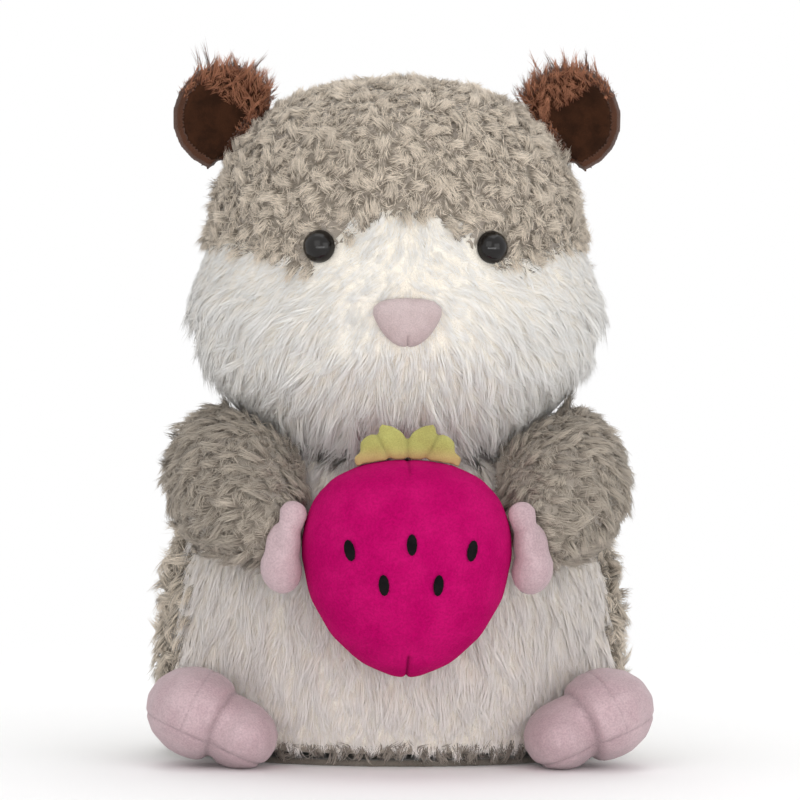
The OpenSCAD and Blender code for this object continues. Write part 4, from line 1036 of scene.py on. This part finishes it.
# Feet: a groove between heel and toe, a seam round the sole and a short dart up the heel, each with painted shade
# along it
for side, sign in SIDE_SIGNS:
    low, high = (np.array(corner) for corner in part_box(f"foot_{side}"))
    inner, outer = (low, high) if sign > 0 else (np.array([high[0], *low[1:]]), np.array([low[0], *high[1:]]))
    heel = inner + HEEL_SHARE * (outer - inner)
    toe = inner + TOE_SHARE * (outer - inner)
    length = unit(toe - heel)
    groove = heel + GROOVE_SHARE * (toe - heel)
    rise = unit(np.cross([0.0, sign * 1.0, 0.0], length))

    def above(points, heel=heel, rise=rise):
        return soft_step((points - heel) @ rise, DART_FROM, DART_FULL)

    stuffed(f"foot_{side}", 1.6, "body", PINK_VELOUR, (
        Seam(groove, length, everywhere, 1.8, 2.4), Seam(heel - SOLE_SEAM * rise, rise, everywhere, 0.6, 0.9),
        Seam(heel, length, above, 0.5, 0.8, 0.6)), smooth=6)

# Paws, nose and crown
for side, sign in SIDE_SIGNS:
    stuffed(f"paw_{side}", 1.4, f"arm_{side}", PINK_VELOUR, cap=1.2, smooth=6,
            shape=swollen(f"paw_{side}", ((sign, PALM_SPOT, PALM_SIZE),)))
nose_middle = (np.array(nose_low) + np.array(nose_high)) / 2
NOSE_SEAM_FULL, NOSE_SEAM_END = 4.0 * MM, 7.0 * MM


def nose_foot(points):
    return 1 - soft_step(points[:, 2], nose_low.z + NOSE_SEAM_FULL, nose_low.z + NOSE_SEAM_END)


ACROSS = np.array([1.0, 0.0, 0.0])
stuffed("nose", 1.0, "head", NOSE_VELOUR, (Seam(nose_middle, ACROSS, nose_foot, 0.7, 0.6),), cap=0.5)
crown_low, crown_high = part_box("fruit_crown")
crown_middle = (np.array(crown_low) + np.array(crown_high)) / 2
# Three creases across the crown, pressed in, with painted shade in their grooves
crown_creases = [
    Seam(crown_middle + lean * CREASE_STEP * MM * ACROSS, np.array([1.0, 0.0, -0.5 * lean]), everywhere, 0.8, 1.3, 0.5)
    for lean in (-1, 0, 1)]
stuffed("fruit_crown", 0.9, "body", LEAF_VELOUR, crown_creases, cap=1.8, smooth=14,
        shape=swollen("fruit_crown", [(sign, SWELL_SPOT, SWELL_SIZE) for sign in (-1, 1)]))

# Fruit: a dart at the bottom and a short one at the top, with painted shade along them
fruit_low, fruit_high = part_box("fruit_body")
LOW_DART_FULL, LOW_DART_END = 10.0 * MM, 13.0 * MM
TOP_DART_FULL, TOP_DART_END = 3.0 * MM, 7.0 * MM
TOP_DART_SHARE = 0.5


def fruit_darts(points):
    low = 1 - soft_step(points[:, 2], fruit_low.z + LOW_DART_FULL, fruit_low.z + LOW_DART_END)
    top = soft_step(points[:, 2], fruit_high.z - TOP_DART_END, fruit_high.z - TOP_DART_FULL)
    return np.maximum(low, TOP_DART_SHARE * top)


stuffed("fruit_body", 2.2, "body", MAGENTA_VELOUR,
        (Seam(np.zeros(3), ACROSS, fruit_darts, 1.3, 0.9),), cap=2.0, smooth=14)

# Plain soft pieces inside and under the toy
PLAIN_SMOOTH, PLAIN_FILL = 2, 0.6
for node, voxel, body, slot, finish in (
        ("body_filling", 2.5, "body", "wool", WOOL), ("head_filling", 4.0, "head", "wool", WOOL),
        ("neck_core", 3.0, "head", "wool", WOOL), ("sole", 1.2, "body", "grey_fur", SOLE_CLOTH)):
    piece = place(f"{node}_soft", remeshed([node], voxel, PLAIN_SMOOTH), body, finish)
    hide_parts(node)

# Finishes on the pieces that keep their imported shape
for finish, names in {
        EYE_BLACK: ("eye_left", "eye_right"), TAPE: ("hook_strip", "loop_strip"), THREAD: ("fruit_seeds",),
        SHELL_WHITE: ("box_front_shell", "box_rear_shell", "battery_cover", "press_base", "eye_washers"),
        SHELL_DARK: ("power_slider", "press_button", "sound_chip"), CELL_SLEEVE: ("battery_cells",),
        STEEL: ("cover_screw", "case_screws", "battery_contacts", "speaker_basket", "press_spring"),
        BOARD_GREEN: ("circuit_board",), CONE_PAPER: ("speaker_cone",), LEAD_BLACK: ("switch_lead",)}.items():
    for name in names:
        nodes[name].material_slots[0].material = finish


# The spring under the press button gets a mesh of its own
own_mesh(nodes["press_spring"])


# Light and stage

WHITE = (1.0, 1.0, 1.0)
ROOM_LIGHT = 0.72
FLOOR_SIDE = 1.4
FLOOR_FADE, FLOOR_END = 0.25, 0.6
FLOOR_PALE, FLOOR_PALER = (0.93, 0.93, 0.93), (0.95, 0.95, 0.95)


def area_light(name, place_at, aim, size, power):
    """A soft box, turned to its aim."""
    lamp = bpy.data.lights.new(name, "AREA")
    lamp.shape = "RECTANGLE"
    lamp.size, lamp.size_y = size
    lamp.energy = power
    holder = bpy.data.objects.new(name, lamp)
    holder.location = place_at
    holder.rotation_mode = "QUATERNION"
    holder.rotation_quaternion = (Vector(aim) - Vector(place_at)).to_track_quat("-Z", "Y")
    bpy.context.scene.collection.objects.link(holder)


def set_stage():
    """White round the toy, a pale floor that keeps its shadow, and five soft boxes."""
    world = bpy.data.worlds.new("studio")
    bpy.context.scene.world = world
    world.use_nodes = True
    tree = world.node_tree
    tree.nodes.clear()
    path = add(tree, "ShaderNodeLightPath")
    mirrored = math_node(tree, "MAXIMUM", path.outputs["Is Glossy Ray"], path.outputs["Is Transmission Ray"])
    seen = math_node(tree, "MAXIMUM", path.outputs["Is Camera Ray"], mirrored)
    strength = span(tree, seen, 0.0, 1.0, ROOM_LIGHT, 1.0)
    sky = add(tree, "ShaderNodeBackground", {"Color": WHITE, "Strength": strength})
    out = add(tree, "ShaderNodeOutputWorld")
    tree.links.new(sky.outputs["Background"], out.inputs["Surface"])

    bpy.ops.mesh.primitive_plane_add(size=FLOOR_SIDE)
    floor = bpy.context.object
    floor.name = "studio_floor"
    made, tree, shader = material("pale_floor")
    grain = add(tree, "ShaderNodeTexNoise", {"Scale": 3.0}).outputs["Fac"]
    tree.links.new(mix_colour(tree, grain, FLOOR_PALE, FLOOR_PALER), shader.inputs["Base Color"])
    shader.inputs["Roughness"].default_value = 0.9
    shader.inputs["Specular IOR Level"].default_value = 0.1
    reach = add(tree, "ShaderNodeVectorMath", {0: add(tree, "ShaderNodeTexCoord").outputs["Object"]},
                operation="LENGTH").outputs["Value"]
    tree.links.new(span(tree, reach, FLOOR_FADE, FLOOR_END, 1.0, 0.0), shader.inputs["Alpha"])
    floor.data.materials.append(made)

    middle = (0.0, 0.0, 0.15)
    area_light("key_box", (-0.7, -1.7, 1.1), middle, (1.3, 1.3), 5.5)
    area_light("low_box", (0.0, -1.7, 0.14), middle, (1.8, 0.25), 7)
    area_light("fill_box", (1.1, -1.5, 0.5), middle, (1.2, 1.2), 6)
    area_light("top_box", (0.1, 0.2, 1.8), middle, (1.4, 1.4), 7)
    area_light("back_box", (0.2, 1.6, 0.9), middle, (1.4, 1.0), 8)
    bpy.context.scene.view_settings.view_transform = "Standard"


set_stage()
